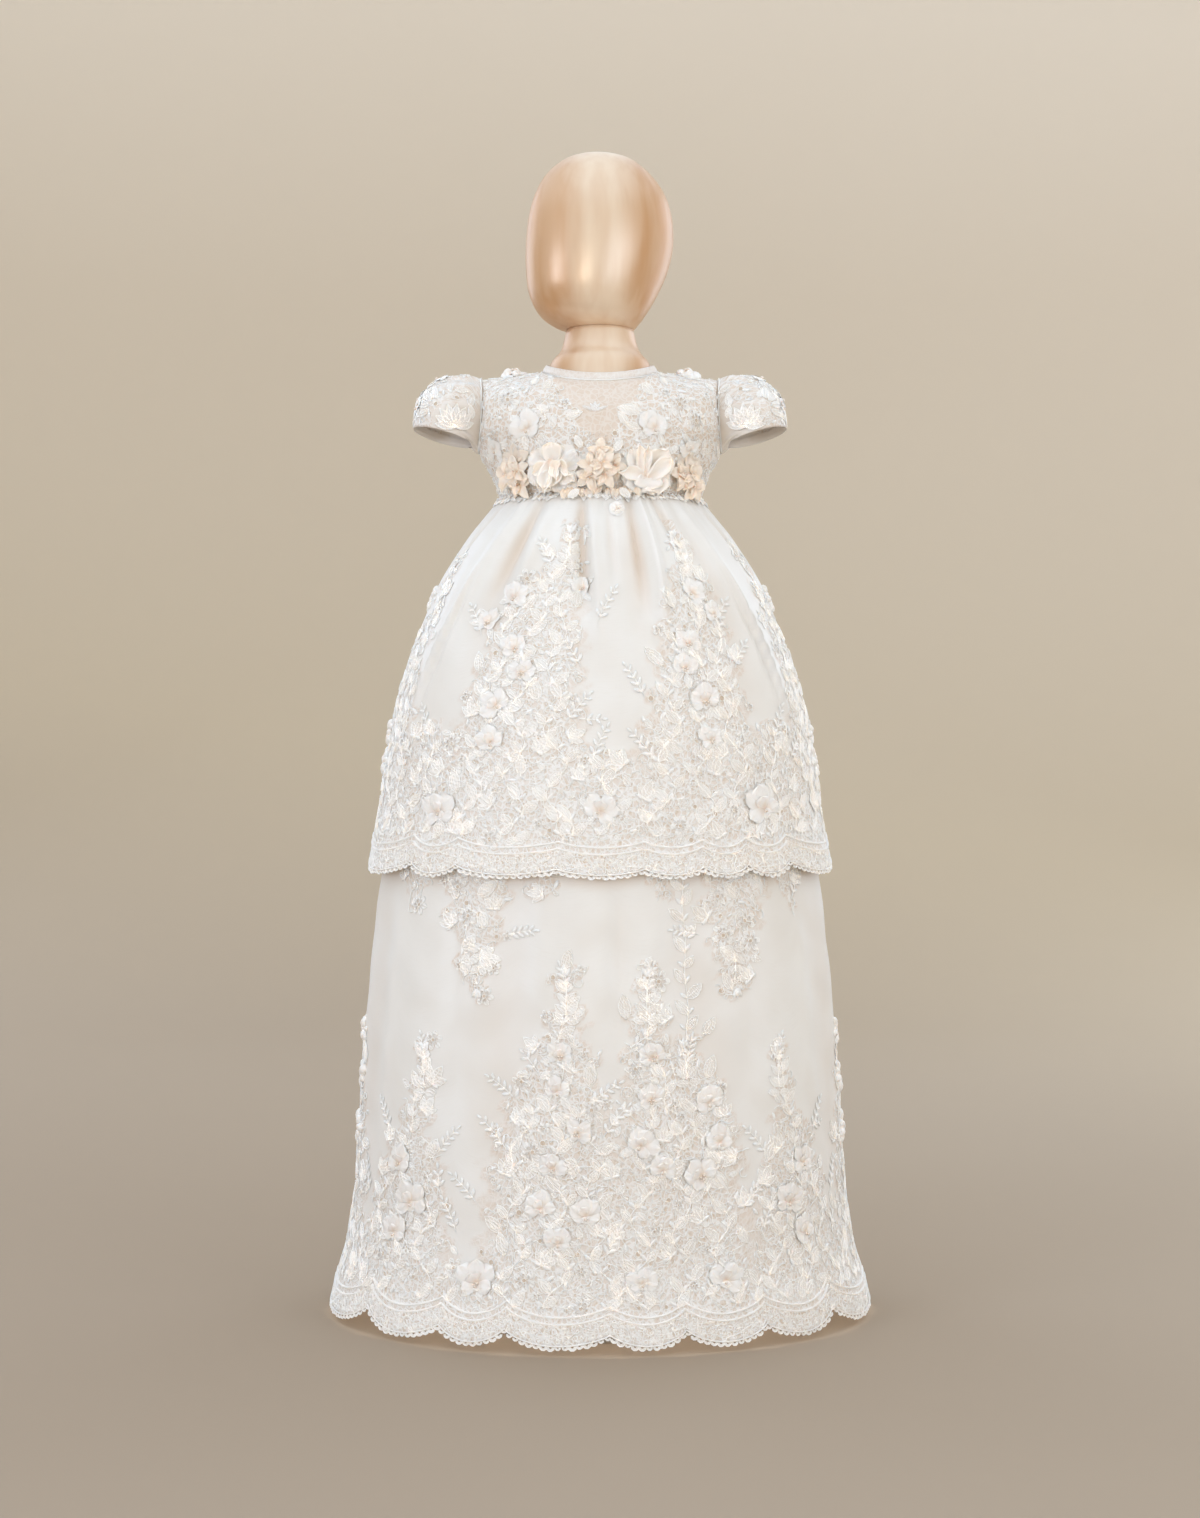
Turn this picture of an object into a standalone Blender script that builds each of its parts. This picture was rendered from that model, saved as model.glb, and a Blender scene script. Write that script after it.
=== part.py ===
"""Christening gown on a limbless dress form, in metres, +Z up, front towards -Y.

The gown has a lace bodice with a neck binding and short gathered sleeves, a waist garland of satin
flowers, a gathered upper tier and a full length lower tier, both with scalloped lace hems. It hangs
on a satin covered form with a head, on a pole and a round base. The origin is on the floor, at the
middle of the base.
"""

import math
from collections import namedtuple

import bmesh
import bpy
from mathutils import Vector
from mathutils.bvhtree import BVHTree

# ---- seams and walls ----
SEAM_GAP = 0.0003        # between pieces that are sewn or set together
CLOTH_WALL = 0.0016      # satin, lining and lace taken as one layer
SEAT_GAP = 0.00045       # under a flower or button, over the faceted cloth that carries it

# ---- heights ----
BASE_THICKNESS = 0.012
TORSO_BOTTOM = 0.560
ARMHOLE_MIDDLE = 0.7665
NECK_SIDE = 0.8035
NECK_TOP = 0.840

# ---- skirt tiers: sections from the waist down ----
Section = namedtuple("Section", "height half_width half_depth")
UPPER_SECTIONS = (
    Section(0.6945, 0.0860, 0.0650),
    Section(0.6776, 0.1000, 0.0765),
    Section(0.6603, 0.1140, 0.0870),
    Section(0.6260, 0.1360, 0.1020),
    Section(0.5915, 0.1510, 0.1120),
    Section(0.5571, 0.1645, 0.1200),
    Section(0.5227, 0.1745, 0.1260),
    Section(0.4711, 0.1840, 0.1320),
    Section(0.4195, 0.1905, 0.1370),
    Section(0.3780, 0.1985, 0.1410),
)
LOWER_SECTIONS = (
    Section(0.6945, 0.0816, 0.0606),
    Section(0.6560, 0.1050, 0.0810),
    Section(0.6000, 0.1330, 0.0990),
    Section(0.5200, 0.1590, 0.1150),
    Section(0.4400, 0.1740, 0.1260),
    Section(0.3830, 0.1860, 0.1335),
    Section(0.3163, 0.1945, 0.1380),
    Section(0.2647, 0.1995, 0.1410),
    Section(0.1959, 0.2035, 0.1440),
    Section(0.1271, 0.2080, 0.1465),
    Section(0.0900, 0.2115, 0.1480),
    Section(0.0583, 0.2170, 0.1505),
    Section(0.0239, 0.2270, 0.1550),
    Section(0.0060, 0.2310, 0.1570),
)

# Rows of the walls, as shares of the way from the waist to the scalloped edge. The plain inner
# side has fewer.
UPPER_ROWS = (0, 0.05, 0.12, 0.20, 0.30, 0.40, 0.50, 0.60, 0.70, 0.79, 0.88, 0.95, 1)
UPPER_INNER_ROWS = (0, 0.05, 0.12, 0.30, 0.50, 0.70, 0.88, 1)
LOWER_ROWS = (0, 0.06, 0.16, 0.32, 0.46, 0.57, 0.65, 0.72, 0.78, 0.835, 0.885, 0.93, 0.97, 1)
LOWER_INNER_ROWS = (0, 0.06, 0.16, 0.46, 0.65, 0.80, 0.885, 0.93, 1)

# Lobes of the hems: the angle from the front of each notch between two lobes, and its height.
Notch = namedtuple("Notch", "angle height")
UPPER_NOTCHES = (
    Notch(-90, 0.3880), Notch(-52, 0.3880), Notch(-36.5, 0.3860), Notch(-10, 0.3835),
    Notch(10.5, 0.3835), Notch(25, 0.3850), Notch(37.5, 0.3860), Notch(52, 0.3880), Notch(90, 0.3880),
)
LOWER_NOTCHES = (
    Notch(-90, 0.0150), Notch(-57, 0.0235), Notch(-34.5, 0.0185), Notch(-19.5, 0.0195),
    Notch(2, 0.0165), Notch(17.5, 0.0190), Notch(36, 0.0185), Notch(57, 0.0235), Notch(90, 0.0150),
)
COLUMNS_PER_LOBE = 6
COLUMNS_PER_GATHER = 4
LOBE_ROUNDNESS = 0.7     # power of the sine that draws a lobe: less is squarer
SPRAY_TAPER = 0.75       # how much narrower a spray is at its tip than at its foot

# Long soft folds: angle at the top and at the bottom, width in degrees, rise, and the stretch.
Fold = namedtuple("Fold", "top_angle low_angle width rise top low")
UPPER_FOLDS = (
    Fold(-52, -64, 5, 0.0035, 0.680, 0.470),
    Fold(-34, -40, 5, -0.0030, 0.690, 0.520),
    Fold(-22, -26, 4, 0.0030, 0.690, 0.560),
    Fold(-9, -4, 4, -0.0030, 0.690, 0.580),
    Fold(2, 4, 4, 0.0030, 0.690, 0.540),
    Fold(10, 12, 4, -0.0030, 0.690, 0.560),
    Fold(24, 27, 5, 0.0030, 0.690, 0.520),
    Fold(38, 46, 5, -0.0030, 0.690, 0.500),
    Fold(50, 62, 5, 0.0035, 0.680, 0.470),
    Fold(72, 78, 6, -0.0030, 0.680, 0.440),
    Fold(-72, -78, 6, -0.0030, 0.680, 0.440),
)
LOWER_FOLDS = (
    Fold(-70, -74, 8, -0.0030, 0.420, 0.020),
    Fold(-46, -48, 8, 0.0025, 0.420, 0.060),
    Fold(-22, -24, 7, -0.0025, 0.420, 0.030),
    Fold(-4, -3, 7, 0.0020, 0.420, 0.120),
    Fold(22, 24, 7, -0.0025, 0.420, 0.030),
    Fold(44, 47, 8, 0.0025, 0.420, 0.060),
    Fold(70, 74, 8, -0.0030, 0.420, 0.020),
)

# Thick applique raised in the outer points. A spray tapers from its foot to its tip. A flower is
# a low dome of petals.
Spray = namedtuple("Spray", "angle foot tip half_width rise")
UPPER_SPRAYS = (
    Spray(-20, 0.400, 0.640, 0.045, 0.0012),
    Spray(29, 0.400, 0.665, 0.040, 0.0012),
    Spray(-64, 0.400, 0.560, 0.040, 0.0012),
    Spray(66, 0.400, 0.560, 0.040, 0.0012),
    Spray(3, 0.400, 0.470, 0.040, 0.0010),
)
LOWER_SPRAYS = (
    Spray(-9, 0.050, 0.305, 0.040, 0.0014),
    Spray(12, 0.050, 0.305, 0.030, 0.0014),
    Spray(24, 0.050, 0.246, 0.030, 0.0014),
    Spray(-49, 0.050, 0.243, 0.035, 0.0014),
    Spray(50, 0.050, 0.243, 0.035, 0.0014),
    Spray(-82, 0.050, 0.240, 0.028, 0.0014),
    Spray(82, 0.050, 0.240, 0.028, 0.0014),
)
Flower = namedtuple("Flower", "angle height radius rise")
UPPER_FLOWERS = (
    Flower(-6.5, 0.611, 0.017, 0.0045), Flower(-28, 0.604, 0.019, 0.0045),
    Flower(-37, 0.584, 0.017, 0.0038), Flower(-25, 0.562, 0.017, 0.0045),
    Flower(-22, 0.542, 0.017, 0.0045), Flower(-28.5, 0.516, 0.018, 0.0053),
    Flower(-29, 0.486, 0.017, 0.0045), Flower(31, 0.608, 0.017, 0.0045),
    Flower(38, 0.591, 0.017, 0.0038), Flower(26, 0.566, 0.017, 0.0045),
    Flower(24, 0.546, 0.017, 0.0045), Flower(29, 0.519, 0.018, 0.0053),
    Flower(29.5, 0.488, 0.017, 0.0045), Flower(-44, 0.429, 0.025, 0.0068),
    Flower(45, 0.432, 0.025, 0.0068), Flower(0, 0.431, 0.021, 0.0045),
    Flower(-90, 0.609, 0.019, 0.0083), Flower(-90, 0.495, 0.019, 0.0068),
    Flower(-90, 0.470, 0.019, 0.0083), Flower(90, 0.609, 0.019, 0.0083),
    Flower(90, 0.495, 0.019, 0.0068), Flower(90, 0.470, 0.019, 0.0083),
)
LOWER_FLOWERS = (
    Flower(-9, 0.236, 0.017, 0.0045), Flower(-9.5, 0.208, 0.018, 0.0060),
    Flower(-5, 0.175, 0.018, 0.0068), Flower(-10.5, 0.147, 0.019, 0.0068),
    Flower(-13, 0.115, 0.020, 0.0075), Flower(-3, 0.110, 0.018, 0.0060),
    Flower(-9, 0.088, 0.018, 0.0060), Flower(12, 0.235, 0.017, 0.0045),
    Flower(11.5, 0.201, 0.018, 0.0060), Flower(25.5, 0.197, 0.018, 0.0060),
    Flower(9, 0.165, 0.018, 0.0068), Flower(28, 0.165, 0.019, 0.0068),
    Flower(14, 0.145, 0.018, 0.0060), Flower(23, 0.139, 0.018, 0.0060),
    Flower(-52, 0.142, 0.021, 0.0068), Flower(-47, 0.112, 0.023, 0.0075),
    Flower(-52, 0.086, 0.019, 0.0060), Flower(53, 0.142, 0.021, 0.0068),
    Flower(47, 0.112, 0.023, 0.0075), Flower(52, 0.086, 0.019, 0.0060),
    Flower(-27, 0.054, 0.021, 0.0060), Flower(27.5, 0.056, 0.021, 0.0060),
    Flower(9, 0.057, 0.018, 0.0045), Flower(-90, 0.241, 0.018, 0.0075),
    Flower(-90, 0.203, 0.019, 0.0090), Flower(-90, 0.158, 0.021, 0.0090),
    Flower(90, 0.241, 0.018, 0.0075), Flower(90, 0.203, 0.019, 0.0090),
    Flower(90, 0.158, 0.021, 0.0090),
)

# Gathers at the waist seam: half of a gather's height, and how far down they fade.
Tier = namedtuple("Tier", "sections rows inner_rows notches lobe_bottom gather_depth gather_fade folds sprays flowers")
UPPER_TIER = Tier(
    UPPER_SECTIONS, UPPER_ROWS, UPPER_INNER_ROWS, UPPER_NOTCHES, 0.3785, 0.0024, 0.090,
    UPPER_FOLDS, UPPER_SPRAYS, UPPER_FLOWERS,
)
LOWER_TIER = Tier(
    LOWER_SECTIONS, LOWER_ROWS, LOWER_INNER_ROWS, LOWER_NOTCHES, 0.0072, 0, 0.060,
    LOWER_FOLDS, LOWER_SPRAYS, LOWER_FLOWERS,
)

# ---- bodice: sections from the waist up, middle depth at the front and at the back ----
BodiceRow = namedtuple("BodiceRow", "height half_width front_depth back_depth")
BODICE_ROWS = (
    BodiceRow(0.6948, 0.0862, 0.0650, 0.0630),
    BodiceRow(0.7140, 0.0925, 0.0670, 0.0640),
    BodiceRow(0.7350, 0.1035, 0.0685, 0.0645),
    BodiceRow(0.7500, 0.1010, 0.0675, 0.0640),
    BodiceRow(0.7665, 0.0992, 0.0650, 0.0620),
    BodiceRow(0.7800, 0.0990, 0.0585, 0.0560),
)
SHOULDER_COLUMNS = 6     # of a whole panel, on each side of the neck
NECK_COLUMNS = 12
BODICE_STEPS = 8
SHOULDER_TIP = Vector((0.1000, 0, 0.7980))
NECK_ANGLE = 38          # half of the panel's angle that lies under the neck edge
SHOULDER_ROLL_DROP = 0.0050     # of the last row before the shoulder and neck seams
NECK_ROLL_OUT = 0.0045
SHOULDER_ROLL_OUT = 0.0280
ARMHOLE_HALF_HEIGHT = 0.0315
ARMHOLE_HALF_DEPTH = 0.0260
NECK_HALF_WIDTH = 0.0495
NECK_HALF_DEPTH = 0.0470
NECK_FRONT_BULGE = 0.0030       # of the neck edge, forwards at the front and forwards at the back
NECK_DIP = 0.0086               # front of the neck edge, below its sides
NECK_DIP_CURVE = 0.0056
BAND_HEIGHT = 0.0069
BAND_LEAN = 0.0030
BAND_ROLL = 0.0003              # how far the middle of the band's outer side stands out
BAND_COLUMNS = 40
BODICE_FLOWERS = (      # Flower with x in metres in place of the angle
    Flower(-0.059, 0.752, 0.011, 0.0020), Flower(0.046, 0.748, 0.012, 0.0022),
    Flower(-0.056, 0.777, 0.012, 0.0016), Flower(0.058, 0.779, 0.012, 0.0016),
)

# ---- sleeves ----
SLEEVE_COLUMNS = 32
SLEEVE_ROWS = (0, 0.10, 0.24, 0.42, 0.62, 0.82, 1)
SLEEVE_PLEATS = 8
SLEEVE_PLEAT_DEPTH = 0.0013
SLEEVE_START = 0.0006    # out from the bodice's side
Ring = namedtuple("Ring", "x x_radius y_radius height rise_up rise_down")
SLEEVE_BULGE = Ring(0.1325, 0.0245, 0.0480, 0.7760, 0.0320, 0.0390)
SLEEVE_HEM = Ring(0.1345, 0.0260, 0.0460, 0.7485, 0.0065, 0.0065)

# ---- dress form ----
FormRing = namedtuple("FormRing", "height half_width half_depth shift")
TORSO_RINGS = (         # below the waist
    FormRing(0.5600, 0.0660, 0.0500, 0),
    FormRing(0.5640, 0.0710, 0.0545, 0),
    FormRing(0.6000, 0.0770, 0.0580, 0),
    FormRing(0.6500, 0.0785, 0.0580, 0),
)
TORSO_INSET = 0.0027    # under the bodice's outer side, at the shoulders and neck
TORSO_CHEST_INSET = 0.0070
NECK_RINGS = (
    FormRing(0.8130, 0.0415, 0.0395, 0),
    FormRing(0.8230, 0.0335, 0.0330, 0),
    FormRing(NECK_TOP, 0.0290, 0.0290, 0),
)
TORSO_SHOULDER_COLUMNS = 4
TORSO_NECK_COLUMNS = 8
HEAD_RINGS = (          # half_width runs from the face to the back of the head
    FormRing(NECK_TOP + SEAM_GAP, 0.0285, 0.0285, 0),
    FormRing(0.8440, 0.0370, 0.0340, -0.0050),
    FormRing(0.8530, 0.0470, 0.0410, -0.0080),
    FormRing(0.8700, 0.0570, 0.0475, -0.0070),
    FormRing(0.8920, 0.0635, 0.0520, -0.0030),
    FormRing(0.9150, 0.0660, 0.0540, 0),
    FormRing(0.9380, 0.0640, 0.0530, 0.0010),
    FormRing(0.9580, 0.0575, 0.0480, 0.0010),
    FormRing(0.9740, 0.0460, 0.0390, 0),
    FormRing(0.9860, 0.0300, 0.0260, 0),
    FormRing(0.9920, 0.0100, 0.0090, 0),
)
HEAD_COLUMNS = 24
HEAD_TURN = math.radians(30)    # of the face, from the side (-X) towards the front
POLE_RADIUS = 0.009
BASE_RADIUS = 0.115
BASE_BEVEL = 0.004

# ---- garland, shoulder flowers and buttons ----
Bloom = namedtuple("Bloom", "name x z lean half_width half_height rise petals twist spokes rings colour")
IVORY = (0.93, 0.90, 0.85)
SATIN_WHITE = (0.95, 0.93, 0.90)
BEIGE = (0.86, 0.77, 0.67)
BLOOMS = (              # lean is the turn of the flower's face from the front, in degrees
    Bloom("rose_left", -0.0400, 0.7135, -14, 0.0205, 0.0260, 0.0175, 4, 1.5, 26, 9, SATIN_WHITE),
    Bloom("rose_right", 0.0372, 0.7120, 13, 0.0230, 0.0280, 0.0185, 4, -1.5, 26, 9, SATIN_WHITE),
    Bloom("cluster_centre", -0.0010, 0.7145, 0, 0.0170, 0.0205, 0.0120, 7, 0.6, 20, 7, BEIGE),
    Bloom("cluster_left", -0.0715, 0.7110, -40, 0.0135, 0.0200, 0.0090, 6, 0.8, 18, 6, BEIGE),
    Bloom("cluster_right", 0.0725, 0.7085, 40, 0.0135, 0.0180, 0.0090, 6, -0.8, 18, 6, BEIGE),
    Bloom("pearl_flower", 0.0140, 0.6790, 6, 0.0062, 0.0068, 0.0045, 5, 0, 10, 5, IVORY),
)
SHOULDER_BLOOM = Bloom("shoulder_flower", 0.0740, 0.8010, 0, 0.0140, 0.0110, 0.0075, 5, 0.8, 16, 6, IVORY)
SHOULDER_DIRECTION = Vector((0, -0.45, 0.89)).normalized()
SHOULDER_FORWARD = 0.006
SEAT_SPREAD = 0.0012     # how far round each point of a flower's back the cloth is felt for
PETAL_LOBE = 0.07        # depth of the notches between petals, as a share of the radius
CREST_SHARE = 0.16       # height of the petals' crests, as a share of the flower's rise
BLOOM_EDGE = 0.0016      # thickness at the rim
BUTTON_EDGE = 0.0008
BUTTON_HEIGHTS = (0.704, 0.729, 0.754, 0.779)
BUTTON_X = 0.0058
BUTTON_RADIUS = 0.0044
BUTTON_RISE = 0.0030

SATIN_GOLD = (0.75, 0.50, 0.30)
FORM_STEEL = (0.62, 0.60, 0.57)


def clear_scene():
    for obj in list(bpy.data.objects):
        bpy.data.objects.remove(obj, do_unlink=True)


def principled(name, colour, roughness, metallic=0.0):
    material = bpy.data.materials.new(name)
    material.use_nodes = True
    shader = material.node_tree.nodes["Principled BSDF"]
    shader.inputs["Base Color"].default_value = (*colour, 1)
    shader.inputs["Roughness"].default_value = roughness
    shader.inputs["Metallic"].default_value = metallic
    return material


def cloth(name, colour=IVORY):
    return principled(name + "_cloth", colour, 0.55)


def add_object(name, bm, material, collection):
    """Turns a bmesh into a smooth shaded object of the collection."""
    bmesh.ops.recalc_face_normals(bm, faces=bm.faces)
    if bm.calc_volume(signed=True) < 0:
        bmesh.ops.reverse_faces(bm, faces=bm.faces)
    mesh = bpy.data.meshes.new(name)
    bm.to_mesh(mesh)
    bm.free()
    mesh.shade_smooth()
    mesh.set_sharp_from_angle(angle=math.radians(50))
    mesh.materials.append(material)
    obj = bpy.data.objects.new(name, mesh)
    collection.objects.link(obj)
    return obj


def read(rows, height, field):
    """A column of a table at a height, on a smooth curve through the rows."""
    knots = sorted((row.height, getattr(row, field)) for row in rows)
    if height <= knots[0][0]:
        return knots[0][1]
    if height >= knots[-1][0]:
        return knots[-1][1]
    place = next(k for k in range(1, len(knots)) if height <= knots[k][0])

    def slope(k):
        before, after = knots[max(k - 1, 0)], knots[min(k + 1, len(knots) - 1)]
        return (after[1] - before[1]) / (after[0] - before[0])

    (low, start), (high, end) = knots[place - 1], knots[place]
    span = high - low
    t = (height - low) / span
    return (
        start * (2 * t**3 - 3 * t**2 + 1)
        + end * (3 * t**2 - 2 * t**3)
        + slope(place - 1) * span * (t**3 - 2 * t**2 + t)
        + slope(place) * span * (t**3 - t**2)
    )


def read_straight(rows, height, field):
    """A column of a table at a height, on straight lines between the rows."""
    knots = sorted((row.height, getattr(row, field)) for row in rows)
    for (low, start), (high, end) in zip(knots, knots[1:]):
        if height <= high:
            return start + (end - start) * max(height - low, 0) / (high - low)
    return knots[-1][1]


def add_sheet(bm, rows, closed=False):
    """A grid through rows of points. Returns its rows of vertices."""
    grid = bmesh.ops.create_grid(bm, x_segments=len(rows[0]) - 1, y_segments=len(rows) - 1, size=1)
    table = [[None] * len(rows[0]) for _ in rows]
    for vert in grid["verts"]:
        column = round((vert.co.x + 1) / 2 * (len(rows[0]) - 1))
        row = round((vert.co.y + 1) / 2 * (len(rows) - 1))
        vert.co = rows[row][column]
        table[row][column] = vert
    if closed:
        pairs = {row[-1]: row[0] for row in table}
        bmesh.ops.weld_verts(bm, targetmap=pairs)
        table = [row[:-1] for row in table]
    return table


def join_chains(bm, first, second):
    """A strip of faces between two chains of vertices, which may differ in number."""
    a, b = 0, 0
    while a < len(first) - 1 or b < len(second) - 1:
        ahead = (first[a + 1].co - second[b].co).length if a < len(first) - 1 else math.inf
        beside = (first[a].co - second[b + 1].co).length if b < len(second) - 1 else math.inf
        if abs(ahead - beside) < 0.2 * min(ahead, beside):
            bm.faces.new((first[a], first[a + 1], second[b + 1], second[b]))
            a, b = a + 1, b + 1
        elif ahead < beside:
            bm.faces.new((first[a], first[a + 1], second[b]))
            a += 1
        else:
            bm.faces.new((first[a], second[b + 1], second[b]))
            b += 1


def make_wall(name, outer_rows, inner_rows, material, collection, closed=False):
    """A cloth wall between an outer and an inner sheet, joined round their edges."""
    bm = bmesh.new()
    outer = add_sheet(bm, outer_rows, closed)
    inner = add_sheet(bm, inner_rows, closed)
    wrap = 1 if closed else 0
    for k in (0, -1):
        join_chains(bm, outer[k] + outer[k][:wrap], inner[k] + inner[k][:wrap])
        if not closed:
            join_chains(bm, [row[k] for row in outer], [row[k] for row in inner])
    return add_object(name, bm, material, collection)


def loft(name, rings, columns, turn, material, collection):
    """A closed body through elliptical rings, turned about Z, with flat ends."""
    rows = []
    for ring in rings:
        row = []
        for k in range(columns + 1):
            angle = 2 * math.pi * k / columns
            x = ring.shift + ring.half_width * math.cos(angle)
            y = ring.half_depth * math.sin(angle)
            row.append(Vector((
                x * math.cos(turn) - y * math.sin(turn), x * math.sin(turn) + y * math.cos(turn), ring.height
            )))
        rows.append(row)
    bm = bmesh.new()
    table = add_sheet(bm, rows, closed=True)
    for ring in (table[0], table[-1]):
        bm.faces.new(ring)
    return add_object(name, bm, material, collection)


# ---- skirts ----


def column_angles(notches):
    """Angles of a panel's columns: the same number in each lobe, the first and last at the seams."""
    angles = []
    for start, end in zip(notches, notches[1:]):
        step = (end.angle - start.angle) / COLUMNS_PER_LOBE
        angles += [start.angle + step * k for k in range(COLUMNS_PER_LOBE)]
    return angles + [notches[-1].angle]


def hem_height(tier, angle):
    """Height of the scalloped edge."""
    for start, end in zip(tier.notches, tier.notches[1:]):
        if angle <= end.angle:
            share = (angle - start.angle) / (end.angle - start.angle)
            notch = start.height + (end.height - start.height) * share
            return notch - (notch - tier.lobe_bottom) * math.sin(math.pi * share) ** LOBE_ROUNDNESS
    return tier.notches[-1].height


def fold_rise(tier, angle, height):
    """How far the long folds move the wall in or out."""
    rise = 0
    for fold in tier.folds:
        share = (fold.top - height) / (fold.top - fold.low)
        if 0 < share < 1:
            ridge = fold.top_angle + (fold.low_angle - fold.top_angle) * share
            rise += fold.rise * math.sin(math.pi * share) * math.exp(-(((angle - ridge) / fold.width) ** 2))
    return rise


def applique_rise(tier, angle, height, radius):
    """How thick the raised applique is: the most of the sprays and flowers that reach this point."""
    rise = 0
    for spray in tier.sprays:
        share = (height - spray.foot) / (spray.tip - spray.foot)
        if 0 <= share <= 1:
            across = abs(math.radians(angle - spray.angle)) * radius
            reach = spray.half_width * (1 - SPRAY_TAPER * share)
            rise = max(rise, spray.rise * (1 - (across / reach) ** 2))
    for flower in tier.flowers:
        across = math.radians(angle - flower.angle) * radius
        distance = math.hypot(across, height - flower.height) / flower.radius
        rise = max(rise, flower.rise * (1 - distance**2))
    return rise


def skirt_rows(tier, side, shares, depth, raised):
    """Rows of points of a front (side -1) or back (side 1) panel, moved in by a depth."""
    rows = []
    top = tier.sections[0].height
    for share in shares:
        row = []
        for column, angle in enumerate(column_angles(tier.notches)):
            height = top + (hem_height(tier, angle) - top) * share
            half_width = read(tier.sections, height, "half_width")
            half_depth = read(tier.sections, height, "half_depth")
            fade = max(0, 1 - (top - height) / tier.gather_fade)
            gather = tier.gather_depth * fade * math.cos(2 * math.pi * column / COLUMNS_PER_GATHER)
            out = gather + fold_rise(tier, angle, height) - depth
            if raised:
                out += applique_rise(tier, angle, height, (half_width + half_depth) / 2)
            turn = math.radians(angle)
            normal = Vector((math.sin(turn) / half_width, side * math.cos(turn) / half_depth)).normalized()
            x = half_width * math.sin(turn) + normal.x * out
            y = side * (half_depth * math.cos(turn) + side * normal.y * out)
            row.append(Vector((x, y + side * SEAM_GAP / 2, height)))
        rows.append(row)
    return rows


def make_skirts(collection):
    panels = {}
    for tier_name, tier in (("upper", UPPER_TIER), ("lower", LOWER_TIER)):
        for side_name, side in (("front", -1), ("back", 1)):
            name = f"{tier_name}_skirt_{side_name}"
            outer = skirt_rows(tier, side, tier.rows, 0, raised=True)
            inner = skirt_rows(tier, side, tier.inner_rows, CLOTH_WALL, raised=False)
            panels[name] = make_wall(name, outer, inner, cloth(name), collection)
    return panels


# ---- bodice ----


def neck_edge(turn, inset=0):
    """The seam between bodice and neck band, or inside it. Turn 0 is the front, pi the back."""
    c = math.cos(turn)
    return Vector((
        (NECK_HALF_WIDTH - inset) * math.sin(turn),
        -((NECK_HALF_DEPTH - inset) * c + NECK_FRONT_BULGE * c * c),
        NECK_SIDE - inset - NECK_DIP * c - NECK_DIP_CURVE * c * c,
    ))


def armhole_depth(height):
    """Half of the armhole's width, front to back, at a height."""
    share = (height - ARMHOLE_MIDDLE) / ARMHOLE_HALF_HEIGHT
    return ARMHOLE_HALF_DEPTH * math.sqrt(max(0, 1 - share * share))


def panel_angles(shoulder_columns, neck_columns):
    """Angles of the columns of a whole panel, with a column at each side of the neck."""
    step = (90 - NECK_ANGLE) / shoulder_columns
    shoulder = [NECK_ANGLE + step * k for k in range(1, shoulder_columns + 1)]
    neck = [NECK_ANGLE * (2 * k / neck_columns - 1) for k in range(neck_columns + 1)]
    return [-angle for angle in reversed(shoulder)] + neck + shoulder


def body_section(side, angle, armhole=1, inset=0, chest_inset=0):
    """Points up one column of the body's surface, from the waist to the shoulder or neck seam.

    Armhole is 1 for a bodice that is cut away under the arm, and 0 for a closed side. The chest
    inset moves the rows below the shoulder in, the other inset the shoulder and neck.
    """
    turn = math.radians(angle)
    points = []
    for row in BODICE_ROWS:
        depth = (row.front_depth if side < 0 else row.back_depth) - chest_inset
        edge = armhole * armhole_depth(row.height)
        y = edge + (depth - edge) * math.cos(turn)
        points.append(Vector(((row.half_width - chest_inset) * math.sin(turn), side * y, row.height)))
    neck_side = neck_edge(math.pi / 2, inset)
    if abs(angle) <= NECK_ANGLE:
        quarter = math.pi / 2 * angle / NECK_ANGLE
        top = neck_edge(quarter if side < 0 else math.pi - quarter, inset)
        out = NECK_ROLL_OUT + (SHOULDER_ROLL_OUT - NECK_ROLL_OUT) * math.sin(quarter) ** 2
    else:
        share = (abs(angle) - NECK_ANGLE) / (90 - NECK_ANGLE)
        tip = SHOULDER_TIP - Vector((chest_inset, 0, inset))
        top = neck_side.lerp(tip, share)
        top.x = math.copysign(top.x, angle)
        tip_out = armhole * armhole_depth(tip.z - SHOULDER_ROLL_DROP)
        out = SHOULDER_ROLL_OUT + (tip_out - SHOULDER_ROLL_OUT) * share
    points.append(top + Vector((0, side * max(out - inset, 0), -SHOULDER_ROLL_DROP - inset / 2)))
    points.append(top)
    return points


def on_curve(points, place):
    """A point on the smooth curve through points, at place 0 to 1."""
    scaled = place * (len(points) - 1)
    k = min(int(scaled), len(points) - 2)
    t = scaled - k
    before = points[max(k - 1, 0)]
    after = points[min(k + 2, len(points) - 1)]
    first, second = points[k], points[k + 1]
    return 0.5 * (
        2 * first
        + (second - before) * t
        + (2 * before - 5 * first + 4 * second - after) * t**2
        + (3 * first - before - 3 * second + after) * t**3
    )


def surface_normal(surface, u, v, u_step, v_step):
    """Normal of a surface(u, v) that runs round with u and up with v."""
    across = surface(u + u_step, v) - surface(u - u_step, v)
    along = surface(u, min(v + v_step, 1)) - surface(u, max(v - v_step, 0))
    return across.cross(along).normalized()


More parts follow.
